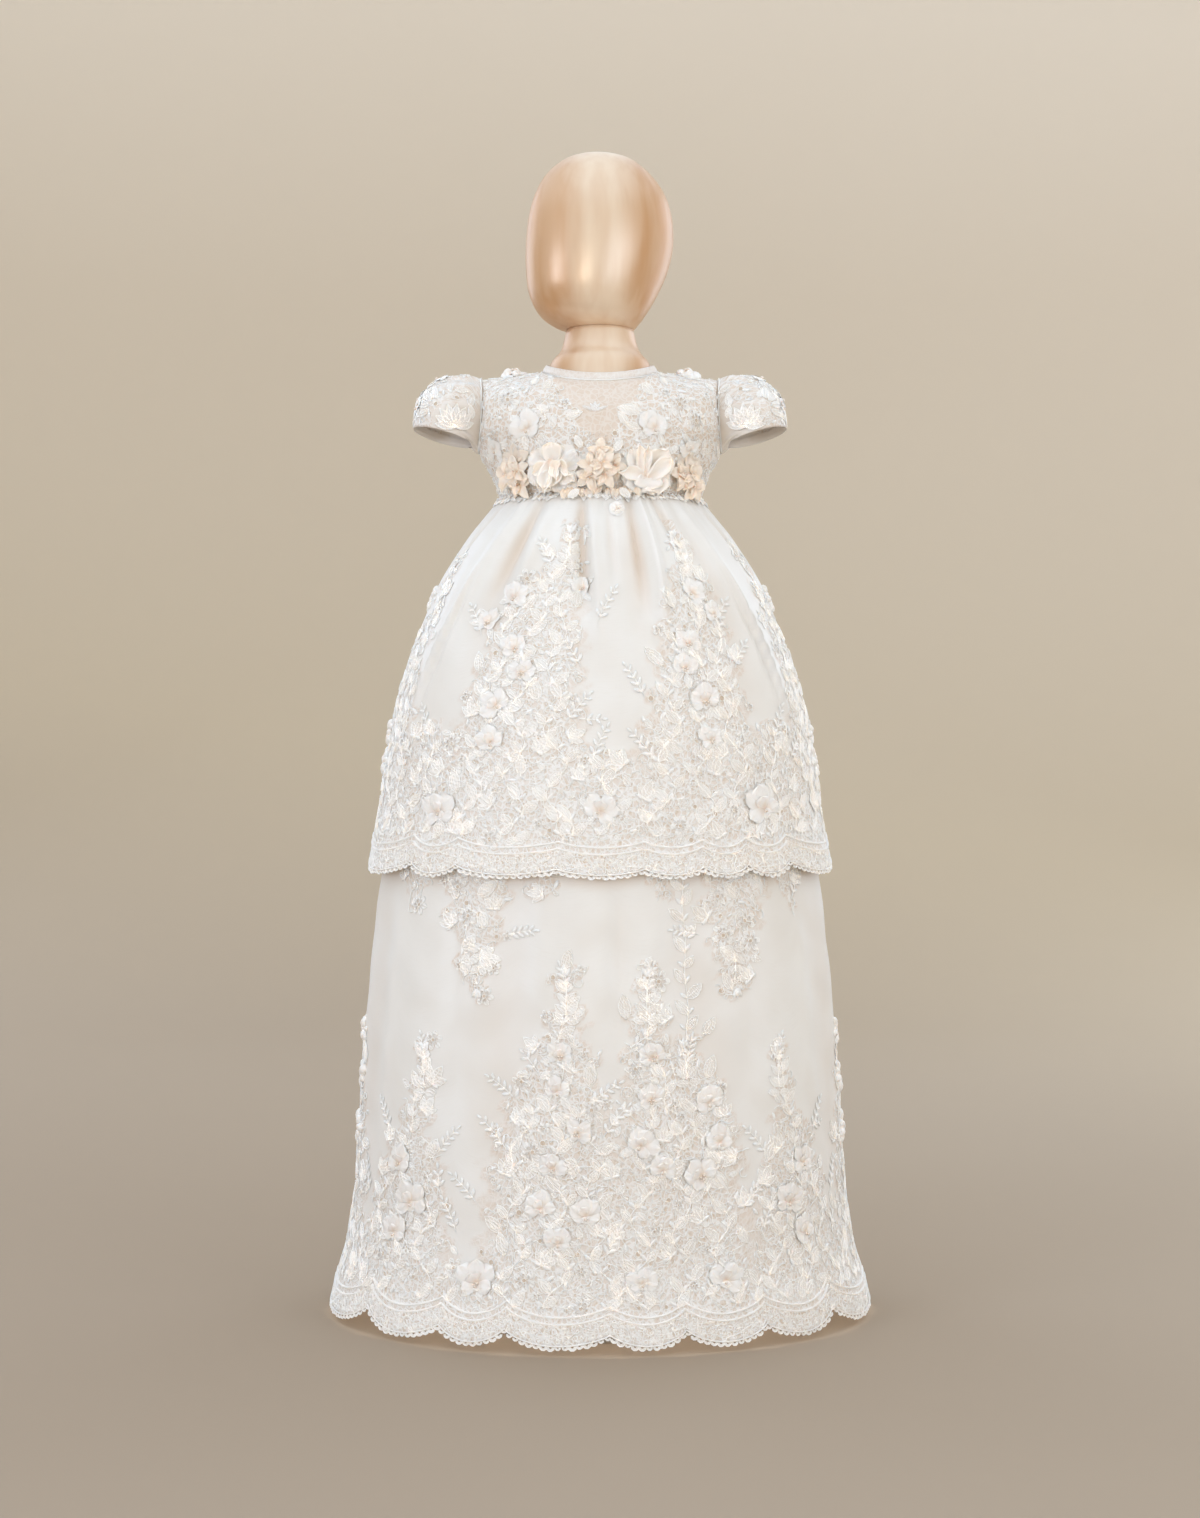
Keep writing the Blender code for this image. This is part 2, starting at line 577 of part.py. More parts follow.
def bodice_rows(side, angles, steps, depth):
    """Rows of points of a bodice panel, moved in by a depth."""

    def surface(u, v):
        point = on_curve(body_section(side, max(-89.99, min(89.99, u))), v)
        return point - Vector((0, 0, SEAM_GAP * v))

    rows = []
    for step in range(steps + 1):
        row = []
        for angle in angles:
            v = step / steps
            normal = surface_normal(surface, angle, v, 0.2, 0.004) * -side
            point = surface(angle, v) - normal * depth
            if depth == 0 and side < 0 and 0 < step < steps:
                for flower in BODICE_FLOWERS:
                    distance = math.hypot(point.x - flower.angle, point.z - flower.height) / flower.radius
                    point = point + normal * max(0, flower.rise * (1 - distance**2))
            point.y = side * max(side * point.y, 0) + side * SEAM_GAP / 2
            row.append(point)
        rows.append(row)
    return rows


def make_bodice(collection):
    panels = {}
    angles = panel_angles(SHOULDER_COLUMNS, NECK_COLUMNS)
    for name, side, kept in (
        ("bodice_front", -1, angles),
        ("bodice_back_left", 1, [angle for angle in angles if angle <= 0]),
        ("bodice_back_right", 1, [angle for angle in angles if angle >= 0]),
    ):
        outer = bodice_rows(side, kept, BODICE_STEPS, 0)
        inner = bodice_rows(side, kept, BODICE_STEPS, CLOTH_WALL)
        if side > 0:
            keep = SEAM_GAP / 2
            for row in outer + inner:
                for point in row:
                    point.x = min(point.x, -keep) if kept[0] < 0 else max(point.x, keep)
        panels[name] = make_wall(name, outer, inner, cloth(name), collection)
    return panels


def make_neck_band(collection):
    """A strip that stands on the neck edge, leans to the neck and is open at the back."""
    gap_turn = SEAM_GAP / NECK_HALF_WIDTH
    outer, inner = [], []
    for share in (0, 0.5, 1):
        outer_row, inner_row = [], []
        for k in range(BAND_COLUMNS + 1):
            turn = -math.pi + gap_turn + (2 * math.pi - 2 * gap_turn) * k / BAND_COLUMNS
            edge = neck_edge(turn)
            out = Vector((math.sin(turn), -math.cos(turn), 0))
            point = edge + Vector((0, 0, BAND_HEIGHT * share)) - out * (BAND_LEAN * share**1.5)
            outer_row.append(point + out * BAND_ROLL * (1 - (2 * share - 1) ** 2))
            inner_row.append(point - out * CLOTH_WALL)
        outer.append(outer_row)
        if share != 0.5:
            inner.append(inner_row)
    return make_wall("neck_band", outer, inner, cloth("neck_band", SATIN_WHITE), collection)


# ---- sleeves ----


def sleeve_ring(ring, turn):
    """A point of the bulge or hem ring. Turn 0 is the front, pi / 2 the top."""
    lift = ring.rise_up if math.sin(turn) > 0 else ring.rise_down
    return Vector((
        ring.x + ring.x_radius * math.sin(turn), -ring.y_radius * math.cos(turn), ring.height + lift * math.sin(turn)
    ))


def armhole_point(turn):
    height = ARMHOLE_MIDDLE + ARMHOLE_HALF_HEIGHT * math.sin(turn)
    rows = BODICE_ROWS + (BodiceRow(SHOULDER_TIP.z, SHOULDER_TIP.x, 0, 0),)
    x = read_straight(rows, height, "half_width") + SLEEVE_START
    return Vector((x, -ARMHOLE_HALF_DEPTH * math.cos(turn), height))


def sleeve_surface(u, v):
    """Round the sleeve with u, and with v from the hem up to the armhole."""
    turn = 2 * math.pi * u
    t = 1 - v
    start, bulge, hem = armhole_point(turn), sleeve_ring(SLEEVE_BULGE, turn), sleeve_ring(SLEEVE_HEM, turn)
    return start * (1 - t) ** 2 + bulge * (2 * t * (1 - t)) + hem * t**2


def sleeve_rows(shares, depth, mirror):
    rows = []
    for share in shares:
        row = []
        for k in range(SLEEVE_COLUMNS + 1):
            u = (k % SLEEVE_COLUMNS) / SLEEVE_COLUMNS
            normal = surface_normal(sleeve_surface, u, 1 - share, 0.002, 0.002)
            crown = max(0, math.sin(2 * math.pi * u))
            fade = crown * (1 - share) ** 1.5 * min(1, share * 12)
            pleat = SLEEVE_PLEAT_DEPTH * fade * math.cos(2 * math.pi * SLEEVE_PLEATS * u)
            point = sleeve_surface(u, 1 - share) + normal * (pleat - depth)
            if share == 0:
                point.x = max(point.x, armhole_point(2 * math.pi * u).x)
            row.append(Vector((mirror * point.x, point.y, point.z)))
        rows.append(row)
    return rows


def make_sleeves(collection):
    for name, mirror in (("sleeve_left", -1), ("sleeve_right", 1)):
        outer = sleeve_rows(SLEEVE_ROWS, 0, mirror)
        inner = sleeve_rows(SLEEVE_ROWS[::2], CLOTH_WALL, mirror)
        make_wall(name, outer, inner, cloth(name), collection, closed=True)


# ---- flowers and buttons ----


def surface_tree(objects):
    """One search tree of the triangles of several objects."""
    points, faces = [], []
    for obj in objects:
        first = len(points)
        points += [vert.co.copy() for vert in obj.data.vertices]
        faces += [[first + index for index in polygon.vertices] for polygon in obj.data.polygons]
    return BVHTree.FromPolygons(points, faces)


def seat(tree, point, outward, spread):
    """The outermost place of the cloth near a point, looking in against the outward direction."""
    side = outward.orthogonal().normalized()
    other = outward.cross(side)
    farthest = None
    for a, b in ((0, 0), (1, 0), (-1, 0), (0, 1), (0, -1)):
        origin = point + side * a * spread + other * b * spread + outward * 0.2
        hit = tree.ray_cast(origin, -outward)[0]
        if hit is not None:
            place = (hit - point).dot(outward)
            farthest = place if farthest is None else max(farthest, place)
    return farthest


def settle(bm, tree, carriers, outward):
    """Moves a flower in until its least distance to the cloth is the seat gap."""
    for _ in range(3):
        own = BVHTree.FromBMesh(bm)
        reach = max((vert.co - bm.verts[0].co).length for vert in bm.verts) * 2
        near = [
            vert.co for obj in carriers for vert in obj.data.vertices
            if (vert.co - bm.verts[0].co).length < reach
        ]
        least = min(
            [tree.find_nearest(vert.co)[3] for vert in bm.verts] + [own.find_nearest(point)[3] for point in near]
        )
        bmesh.ops.translate(bm, verts=bm.verts, vec=-outward * (least - SEAT_GAP))
        bm.verts.ensure_lookup_table()


def make_bloom(name, bloom, centre, outward, carriers, collection):
    """A lobed mound of petals over the cloth: a sphere whose lower side follows the cloth."""
    tree = surface_tree(carriers)
    up = Vector((0, 0, 1)) if abs(outward.z) < 0.1 else Vector((0, 1, 0))
    up = (up - outward * up.dot(outward)).normalized()
    across = outward.cross(up)
    bm = bmesh.new()
    bmesh.ops.create_uvsphere(bm, u_segments=bloom.spokes, v_segments=bloom.rings, radius=1)
    bm.verts.ensure_lookup_table()
    face_rows = bloom.rings - 2
    for vert in bm.verts:
        turn = math.atan2(vert.co.y, vert.co.x)
        row = round(math.acos(max(-1, min(1, vert.co.z))) / math.pi * bloom.rings)
        if row <= face_rows:
            reach, back = row / face_rows, False
        else:
            reach, back = (bloom.rings - row) / (bloom.rings - face_rows), True
        lobe = (1 + PETAL_LOBE * math.cos(bloom.petals * turn)) / (1 + PETAL_LOBE)
        x = bloom.half_width * reach * lobe * math.cos(turn)
        z = bloom.half_height * reach * lobe * math.sin(turn)
        point = centre + across * x + up * z
        place = seat(tree, point, outward, SEAT_SPREAD) + SEAT_GAP
        if not back:
            crest = math.cos(bloom.petals * turn + bloom.twist * math.pi * reach) * min(1, 3 * reach)
            dome = (1 - reach**2) ** 0.6 if reach < 1 else 0
            place += BLOOM_EDGE + bloom.rise * dome * (1 - CREST_SHARE + CREST_SHARE * crest)
        vert.co = point + outward * place
    settle(bm, tree, carriers, outward)
    return add_object(name, bm, cloth(name, bloom.colour), collection)


def make_flowers(panels, collection):
    front = [panels["bodice_front"], panels["upper_skirt_front"]]
    tree = surface_tree(front)
    for bloom in BLOOMS:
        turn = math.radians(bloom.lean)
        outward = Vector((math.sin(turn), -math.cos(turn), 0))
        centre = tree.ray_cast(Vector((bloom.x, -1, bloom.z)), Vector((0, 1, 0)))[0]
        make_bloom(bloom.name, bloom, centre, outward, front, collection)
    shoulders = [panels[name] for name in panels if name.startswith("bodice")]
    for name, mirror in (("left", -1), ("right", 1)):
        centre = Vector((mirror * SHOULDER_BLOOM.x, -SHOULDER_FORWARD, SHOULDER_BLOOM.z))
        full_name = f"{SHOULDER_BLOOM.name}_{name}"
        make_bloom(full_name, SHOULDER_BLOOM, centre, SHOULDER_DIRECTION, shoulders, collection)


def make_buttons(panels, collection):
    """Small domed buttons along the edge of the right back panel."""
    tree = surface_tree([panels["bodice_back_right"]])
    backward = Vector((0, 1, 0))
    for number, height in enumerate(BUTTON_HEIGHTS, start=1):
        name = f"back_button_{number}"
        bm = bmesh.new()
        bmesh.ops.create_uvsphere(bm, u_segments=10, v_segments=4, radius=1)
        for vert in bm.verts:
            point = Vector((BUTTON_X + BUTTON_RADIUS * vert.co.x, 0, height + BUTTON_RADIUS * vert.co.y))
            place = seat(tree, point, backward, 0.001) + SEAT_GAP
            place += BUTTON_RISE * max(0, vert.co.z) + (BUTTON_EDGE if vert.co.z > -0.01 else 0)
            vert.co = point + backward * place
        add_object(name, bm, cloth(name, SATIN_WHITE), collection)


# ---- form and stand ----


def torso_column(side, angle):
    """Points up the form: hip, waist, the body under the bodice."""
    turn = math.radians(angle)
    points = [
        Vector((ring.half_width * math.sin(turn), side * ring.half_depth * math.cos(turn), ring.height))
        for ring in TORSO_RINGS
    ]
    body = body_section(side, angle, 0, TORSO_INSET, TORSO_CHEST_INSET)
    return points + [on_curve(body, k / 9) for k in range(10)]


def make_torso(collection):
    """Front and back sheets that meet at the sides and shoulders, and a neck tube, closed at both ends."""
    angles = panel_angles(TORSO_SHOULDER_COLUMNS, TORSO_NECK_COLUMNS)
    bm = bmesh.new()
    for side in (-1, 1):
        columns = [torso_column(side, angle) for angle in angles]
        add_sheet(bm, list(zip(*columns)))
    turns = [2 * math.pi * k / (2 * TORSO_NECK_COLUMNS) for k in range(2 * TORSO_NECK_COLUMNS + 1)]
    rows = [[neck_edge(turn, TORSO_INSET) for turn in turns]]
    rows.append([
        neck_edge(turn, TORSO_INSET + BAND_LEAN) + Vector((0, 0, BAND_HEIGHT + BAND_LEAN)) for turn in turns
    ])
    for ring in NECK_RINGS:
        rows.append([
            Vector((ring.half_width * math.sin(turn), -ring.half_depth * math.cos(turn), ring.height))
            for turn in turns
        ])
    add_sheet(bm, rows, closed=True)
    bmesh.ops.remove_doubles(bm, verts=bm.verts, dist=0.00002)
    bmesh.ops.holes_fill(bm, edges=[edge for edge in bm.edges if edge.is_boundary])
    add_object("form_torso", bm, principled("torso_satin", SATIN_GOLD, 0.4), collection)


def make_form(collection):
    make_torso(collection)
    loft("form_head", HEAD_RINGS, HEAD_COLUMNS, HEAD_TURN, principled("head_satin", SATIN_GOLD, 0.4), collection)


def make_stand(collection):
    pole_bottom = BASE_THICKNESS + SEAM_GAP
    pole_top = TORSO_BOTTOM - SEAM_GAP
    bm = bmesh.new()
    bmesh.ops.create_cone(
        bm, cap_ends=True, segments=20, radius1=POLE_RADIUS, radius2=POLE_RADIUS, depth=pole_top - pole_bottom
    )
    bmesh.ops.translate(bm, verts=bm.verts, vec=(0, 0, (pole_top + pole_bottom) / 2))
    add_object("stand_pole", bm, principled("pole_paint", FORM_STEEL, 0.4, 0.6), collection)
    bm = bmesh.new()
    bmesh.ops.create_cone(
        bm, cap_ends=True, segments=40, radius1=BASE_RADIUS, radius2=BASE_RADIUS, depth=BASE_THICKNESS
    )
    bmesh.ops.translate(bm, verts=bm.verts, vec=(0, 0, BASE_THICKNESS / 2))
    top_edges = [e for e in bm.edges if all(v.co.z > BASE_THICKNESS / 2 for v in e.verts)]
    bmesh.ops.bevel(
        bm, geom=top_edges, offset=BASE_BEVEL, segments=2, profile=0.5, affect="EDGES", material=-1
    )
    add_object("stand_base", bm, principled("base_paint", FORM_STEEL, 0.4, 0.6), collection)


def main():
    clear_scene()
    collection = bpy.data.collections.new("christening_gown")
    bpy.context.scene.collection.children.link(collection)
    panels = make_skirts(collection)
    panels.update(make_bodice(collection))
    make_neck_band(collection)
    make_sleeves(collection)
    make_flowers(panels, collection)
    make_buttons(panels, collection)
    make_form(collection)
    make_stand(collection)


main()
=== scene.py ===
import math
import random

import bmesh
import bpy
import numpy as np
from mathutils import Matrix, Vector
from mathutils.bvhtree import BVHTree


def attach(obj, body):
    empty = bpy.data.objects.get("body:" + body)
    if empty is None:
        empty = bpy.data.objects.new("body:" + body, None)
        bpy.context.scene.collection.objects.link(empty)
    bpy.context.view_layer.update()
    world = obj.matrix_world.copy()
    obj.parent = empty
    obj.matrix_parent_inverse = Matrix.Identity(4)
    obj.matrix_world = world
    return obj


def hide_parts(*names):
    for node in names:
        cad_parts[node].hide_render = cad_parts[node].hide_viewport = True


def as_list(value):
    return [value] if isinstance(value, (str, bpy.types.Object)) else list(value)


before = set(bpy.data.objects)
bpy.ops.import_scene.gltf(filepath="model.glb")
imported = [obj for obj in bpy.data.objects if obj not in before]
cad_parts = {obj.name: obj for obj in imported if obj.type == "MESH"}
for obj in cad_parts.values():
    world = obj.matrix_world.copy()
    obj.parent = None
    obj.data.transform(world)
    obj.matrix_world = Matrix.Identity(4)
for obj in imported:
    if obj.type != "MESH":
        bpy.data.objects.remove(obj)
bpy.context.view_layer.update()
scene = bpy.context.scene


class Value:
    # one output of a shader tree, so that shader maths reads as ordinary expressions
    def __init__(self, graph, socket):
        self.graph, self.socket = graph, socket

    def maths(self, operation, *values):
        return self.graph.add("ShaderNodeMath", {"operation": operation}, dict(enumerate(values)))

    def __add__(self, other):
        return self.maths("ADD", self, other)

    def __sub__(self, other):
        return self.maths("SUBTRACT", self, other)

    def __rsub__(self, other):
        return self.maths("SUBTRACT", other, self)

    def __mul__(self, other):
        return self.maths("MULTIPLY", self, other)

    def __truediv__(self, other):
        return self.maths("DIVIDE", self, other)

    def __pow__(self, other):
        return self.maths("POWER", self, other)

    __radd__ = __add__
    __rmul__ = __mul__

    def above(self, low, high):
        # 0 under low, 1 over high, smooth between
        ends = {"From Min": low, "From Max": high, "Value": self}
        return self.graph.add("ShaderNodeMapRange", {"interpolation_type": "SMOOTHSTEP"}, ends)


class Graph:
    def __init__(self, name, **constants):
        self.material = bpy.data.materials.new(name)
        self.material.use_nodes = True
        self.tree = self.material.node_tree
        self.shader = self.tree.nodes["Principled BSDF"]
        self.shader.subsurface_method = "BURLEY"
        self.feed(self.shader, {key.replace("_", " "): value for key, value in constants.items()})

    def feed(self, node, inputs):
        for key, value in inputs.items():
            if isinstance(value, Value):
                self.tree.links.new(value.socket, node.inputs[key])
            else:
                node.inputs[key].default_value = value

    def add(self, kind, settings=None, inputs=None, output=0):
        node = self.tree.nodes.new(kind)
        for key, value in (settings or {}).items():
            if key == "stops":
                ramp = node.color_ramp.elements
                while len(ramp) < len(value):
                    ramp.new(0.5)
                for element, (place, colour) in zip(ramp, value):
                    element.position, element.color = place, colour
            else:
                setattr(node, key, value)
        self.feed(node, inputs or {})
        return Value(self, node.outputs[output])

    def mix(self, share, first, second):
        # a colour is the name of a tint or a value
        first, second = (tints[colour] if isinstance(colour, str) else colour for colour in (first, second))
        return self.add("ShaderNodeMix", {"data_type": "RGBA"}, {0: share, 6: first, 7: second}, 2)

    def objectPlace(self):
        return self.add("ShaderNodeTexCoord", output="Object")

    def clothPlace(self):
        return self.add("ShaderNodeUVMap", {"uv_map": "cloth"})

    def share(self, name):
        return self.add("ShaderNodeAttribute", {"attribute_name": name}, output="Fac")

    def stretched(self, place, x, y, z=1):
        return self.add("ShaderNodeMapping", {}, {"Vector": place, "Scale": (x, y, z)})

    def noise(self, place, scale, detail=2.0):
        return self.add("ShaderNodeTexNoise", {}, {"Vector": place, "Scale": scale, "Detail": detail})

    def wave(self, place, scale, distortion):
        settings = {"wave_type": "BANDS", "bands_direction": "DIAGONAL"}
        inputs = {"Vector": place, "Scale": scale, "Distortion": distortion, "Detail Scale": 1.5}
        return self.add("ShaderNodeTexWave", settings, {**inputs, "Detail": 1.0}, "Fac")

    def cells(self, place, scale):
        # the distance to the edge of cells of random shapes
        inputs = {"Vector": place, "Scale": scale}
        return self.add("ShaderNodeTexVoronoi", {"feature": "DISTANCE_TO_EDGE"}, inputs, "Distance")

    def warped(self, place, scale, amount):
        # the place, pushed about by noise, for threads that wander
        push = self.add("ShaderNodeTexNoise", {}, {"Vector": place, "Scale": scale, "Detail": 1.0}, "Color")
        centred = self.add("ShaderNodeVectorMath", {"operation": "SUBTRACT"}, {0: push, 1: (0.5, 0.5, 0.5)})
        sized = self.add("ShaderNodeVectorMath", {"operation": "SCALE"}, {0: centred, "Scale": amount})
        return self.add("ShaderNodeVectorMath", {"operation": "ADD"}, {0: place, 1: sized})

    def finish(self, colour, height, distance, roughness=None):
        bump = self.add("ShaderNodeBump", {}, {"Height": height, "Distance": distance, "Strength": 1.0})
        self.feed(self.shader, {"Base Color": colour, "Normal": bump})
        if roughness is not None:
            self.feed(self.shader, {"Roughness": roughness})
        return self.material


def tint(*colour):
    # red, green and blue from 0 to 255, as the linear values that shaders take
    shares = [part / 255 for part in colour]
    return (*[s / 12.92 if s <= 0.04045 else ((s + 0.055) / 1.055) ** 2.4 for s in shares], 1.0)


tints = {
    "satin": tint(245, 241, 234),
    "satinShade": tint(239, 233, 224),
    # painted shade: the warm shade laid into creases and folds, under the garland, under the upper hem and
    # over the bodice and sleeves
    "valley": tint(230, 208, 186),
    # the net and gap tints: partly the lace's own beige ground, partly painted shade in its recesses
    "net": tint(232, 216, 200),
    "gap": tint(218, 197, 171),
    "thread": tint(252, 249, 244),
    "leaf": tint(251, 248, 243),
    "leafShade": tint(241, 233, 223),
    "chiffon": tint(251, 247, 241),
    "chiffonShade": tint(236, 219, 201),
    "rose": tint(246, 241, 234),
    "roseShade": tint(236, 212, 188),
    "beige": tint(240, 228, 213),
    "beigeShade": tint(226, 202, 177),
    "pearl": tint(224, 194, 162),
    "goldLight": tint(242, 218, 190),
    "goldShade": tint(208, 158, 110),
    "paint": tint(190, 182, 170),
    "paintShade": tint(172, 164, 152),
}
# painted light and shade on the backdrop, from the floor up the wall
backdropTints = [
    (0.0, tint(170, 152, 132)),
    (0.12, tint(181, 164, 144)),
    (0.35, tint(204, 187, 162)),
    (1.0, tint(237, 223, 204)),
]
# light that goes a little way into thread and petals: share, reach of each colour in metres
softLight = {"Subsurface_Weight": 0.6, "Subsurface_Radius": (1.0, 0.66, 0.42), "Subsurface_Scale": 0.0022}


def makeCloth():
    # satin with a fine slubbed weave, and corded lace wherever the lace share is high
    graph = Graph("lace_over_satin", Sheen_Weight=0.25, Sheen_Roughness=0.5, Specular_IOR_Level=0.5)
    place = graph.clothPlace()
    lace = graph.share("lace")
    slubs = graph.noise(graph.stretched(place, 90, 900), 1.0, 2.0)
    warps = graph.noise(graph.stretched(place, 1100, 70), 1.0, 1.0)
    cloudy = graph.noise(place, 14.0, 2.0)
    cords = 1 - graph.cells(graph.warped(place, 160.0, 0.0045), 215.0).above(0.03, 0.17)
    net = 1 - graph.cells(graph.warped(place, 420.0, 0.001), 760.0).above(0.04, 0.2)
    gaps = graph.noise(place, 270.0, 2.0).above(0.50, 0.64)
    ground = graph.mix(cloudy.above(0.35, 0.7), "satin", "satinShade")
    ground = graph.mix(slubs.above(0.45, 0.75) * 0.35, ground, "satinShade")
    zones = graph.noise(place, 60.0, 1.0).above(0.35, 0.65)
    colour = graph.mix(lace.above(0.0, 0.4) * (zones * 0.35 + 0.5), ground, "net")
    # painted shade, as strong as the share of painted shade stored on each piece of cloth
    colour = graph.mix(graph.share("valley") * 0.6, colour, "valley")
    # random sunken specks over the lace in the gap tint: partly its beige ground, partly painted shade
    # between its threads
    colour = graph.mix(lace * gaps * (zones * 0.5 + 0.35), colour, "gap")
    colour = graph.mix(lace * net * 0.25, colour, "thread")
    colour = graph.mix(lace * cords * 0.85, colour, "thread")
    height = slubs * 0.12 + warps * 0.08 + lace * (cords * 0.8 + net * 0.15 - gaps * 0.5)
    return graph.finish(colour, height, 0.0003, 0.42 - lace * cords * 0.06)


def makeThread():
    graph = Graph("corded_thread", Sheen_Weight=0.3, Specular_IOR_Level=0.5, **softLight)
    place = graph.objectPlace()
    twist = graph.wave(place, 420.0, 3.0)
    worn = graph.noise(place, 60.0)
    colour = graph.mix(worn.above(0.35, 0.8) * 0.4, "thread", "leaf")
    return graph.finish(colour, twist * 0.5, 0.0002, 0.38 + worn * 0.2)


def makeNetLeaf():
    # the fill of a leaf: threads side by side, over net
    graph = Graph("lace_leaf", Sheen_Weight=0.2)
    place = graph.objectPlace()
    threads = graph.wave(graph.warped(place, 90.0, 0.004), 190.0, 4.0)
    patches = graph.noise(place, 45.0)
    colour = graph.mix(patches.above(0.35, 0.65), "leaf", "leafShade")
    colour = graph.mix(threads.above(0.55, 0.9) * 0.7, colour, "thread")
    return graph.finish(colour, threads, 0.0003, 0.5 - threads * 0.1)


def makePetal(name, light, scale, shine):
    # thin fabric petals with fine creases: painted shade near the foot and down the creases, painted light
    # towards the tip
    graph, shade = Graph(name, Sheen_Weight=0.3, Specular_IOR_Level=shine, **softLight), light + "Shade"
    place = graph.objectPlace()
    depth = graph.share("depth")
    creases = graph.noise(graph.warped(place, 80.0, 0.006), scale, 3.0)
    weave = graph.noise(place, 1500.0, 1.0)
    # painted shade near each petal's foot and painted light towards its tip, then painted shade down its
    # creases
    colour = graph.mix(depth.above(-0.05, 0.6), shade, light)
    colour = graph.mix(creases.above(0.5, 0.8) * 0.2, colour, shade)
    return graph.finish(colour, creases * 0.5 + weave * 0.08, 0.0004, 0.40 + creases * 0.15)


def makeGap():
    # the open middle of an eyelet, where the shade under the lace shows
    graph = Graph("lace_gap", Sheen_Weight=0.1)
    place = graph.objectPlace()
    threads = graph.cells(place, 900.0).above(0.03, 0.2)
    colour = graph.mix(threads * 0.8 + 0.2, "net", "gap")
    return graph.finish(colour, 1 - threads, 0.0002, 0.6 + threads * 0.1)


def makePearl():
    graph = Graph("pearl_bead", Coat_Weight=0.6, Coat_Roughness=0.08, Specular_IOR_Level=0.6)
    lustre = graph.noise(graph.objectPlace(), 500.0)
    colour = graph.mix(lustre, "pearl", "thread")
    return graph.finish(colour, lustre * 0.2, 0.0001, 0.14 + lustre * 0.1)


def makeGoldSatin():
    graph = Graph("gold_satin", Metallic=0.2, Specular_IOR_Level=0.8)
    place = graph.objectPlace()
    threads = graph.noise(graph.stretched(place, 1800, 1800, 120), 1.0, 1.0)
    slubs = graph.noise(graph.stretched(place, 70, 70, 9), 1.0, 2.0)
    # painted shade and highlight: the form is painted darker towards its left and right sides and paler
    # down its middle, over the satin's random slubs
    across = graph.add("ShaderNodeSeparateXYZ", {}, {0: place}, "X")
    sides = ((across * across) ** 0.5).above(0.008, 0.038)
    shade = slubs.above(0.35, 0.75) * 0.25 + sides * 0.7
    colour = graph.mix(shade, "goldLight", "goldShade")
    return graph.finish(colour, threads * 0.2 + slubs * 0.05, 0.0002, 0.28 + threads * 0.1)


def makeStandPaint():
    graph = Graph("stand_paint", Metallic=0.4)
    place = graph.objectPlace()
    grain = graph.noise(place, 900.0, 3.0)
    rubs = graph.noise(place, 25.0)
    colour = graph.mix(rubs.above(0.4, 0.7), "paint", "paintShade")
    return graph.finish(colour, grain * 0.3, 0.0002, 0.35 + rubs * 0.2)


def makeBackdrop():
    # backdrop paper with painted light and shade: darker on the floor, paler up the wall, further out and
    # towards the right
    graph = Graph("backdrop_paper", Roughness=0.9, Specular_IOR_Level=0.1)
    place = graph.objectPlace()
    x, y, z = (graph.add("ShaderNodeSeparateXYZ", {}, {0: place}, axis) for axis in "XYZ")
    lift = (z + (x * x + y * y) ** 0.5 * 0.25 + x * 0.22) / 3.4
    mottle = graph.noise(place, 3.0)
    colour = graph.add("ShaderNodeValToRGB", {"stops": backdropTints}, {"Fac": lift + mottle * 0.01})
    return graph.finish(colour, mottle * 0.02, 0.001)


clothMaterial = makeCloth()
threadMaterial = makeThread()
leafMaterial = makeNetLeaf()
chiffonMaterial = makePetal("chiffon_petal", "chiffon", 120.0, 0.4)
roseMaterial = makePetal("satin_rose", "rose", 90.0, 0.6)
beigeMaterial = makePetal("beige_petal", "beige", 160.0, 0.4)
pearlMaterial = makePearl()
gapMaterial = makeGap()
goldMaterial = makeGoldSatin()
paintMaterial = makeStandPaint()
print("materials made")


def smoothRead(knots, values, at):
    # a column of a short table, read on a smooth curve
    order = np.argsort(knots)
    x, y = np.array(knots, float)[order], np.array(values, float)[order]
    slopes = np.gradient(y, x)
    slopes[1:-1] = (y[2:] - y[:-2]) / (x[2:] - x[:-2])
    at = np.clip(at, x[0], x[-1])
    k = np.clip(np.searchsorted(x, at), 1, len(x) - 1)
    span = x[k] - x[k - 1]
    t = (at - x[k - 1]) / span
    flat = y[k - 1] * (2 * t**3 - 3 * t**2 + 1) + y[k] * (3 * t**2 - 2 * t**3)
    return flat + slopes[k - 1] * span * (t**3 - 2 * t**2 + t) + slopes[k] * span * (t**3 - t**2)


mergeDistance = 1e-6


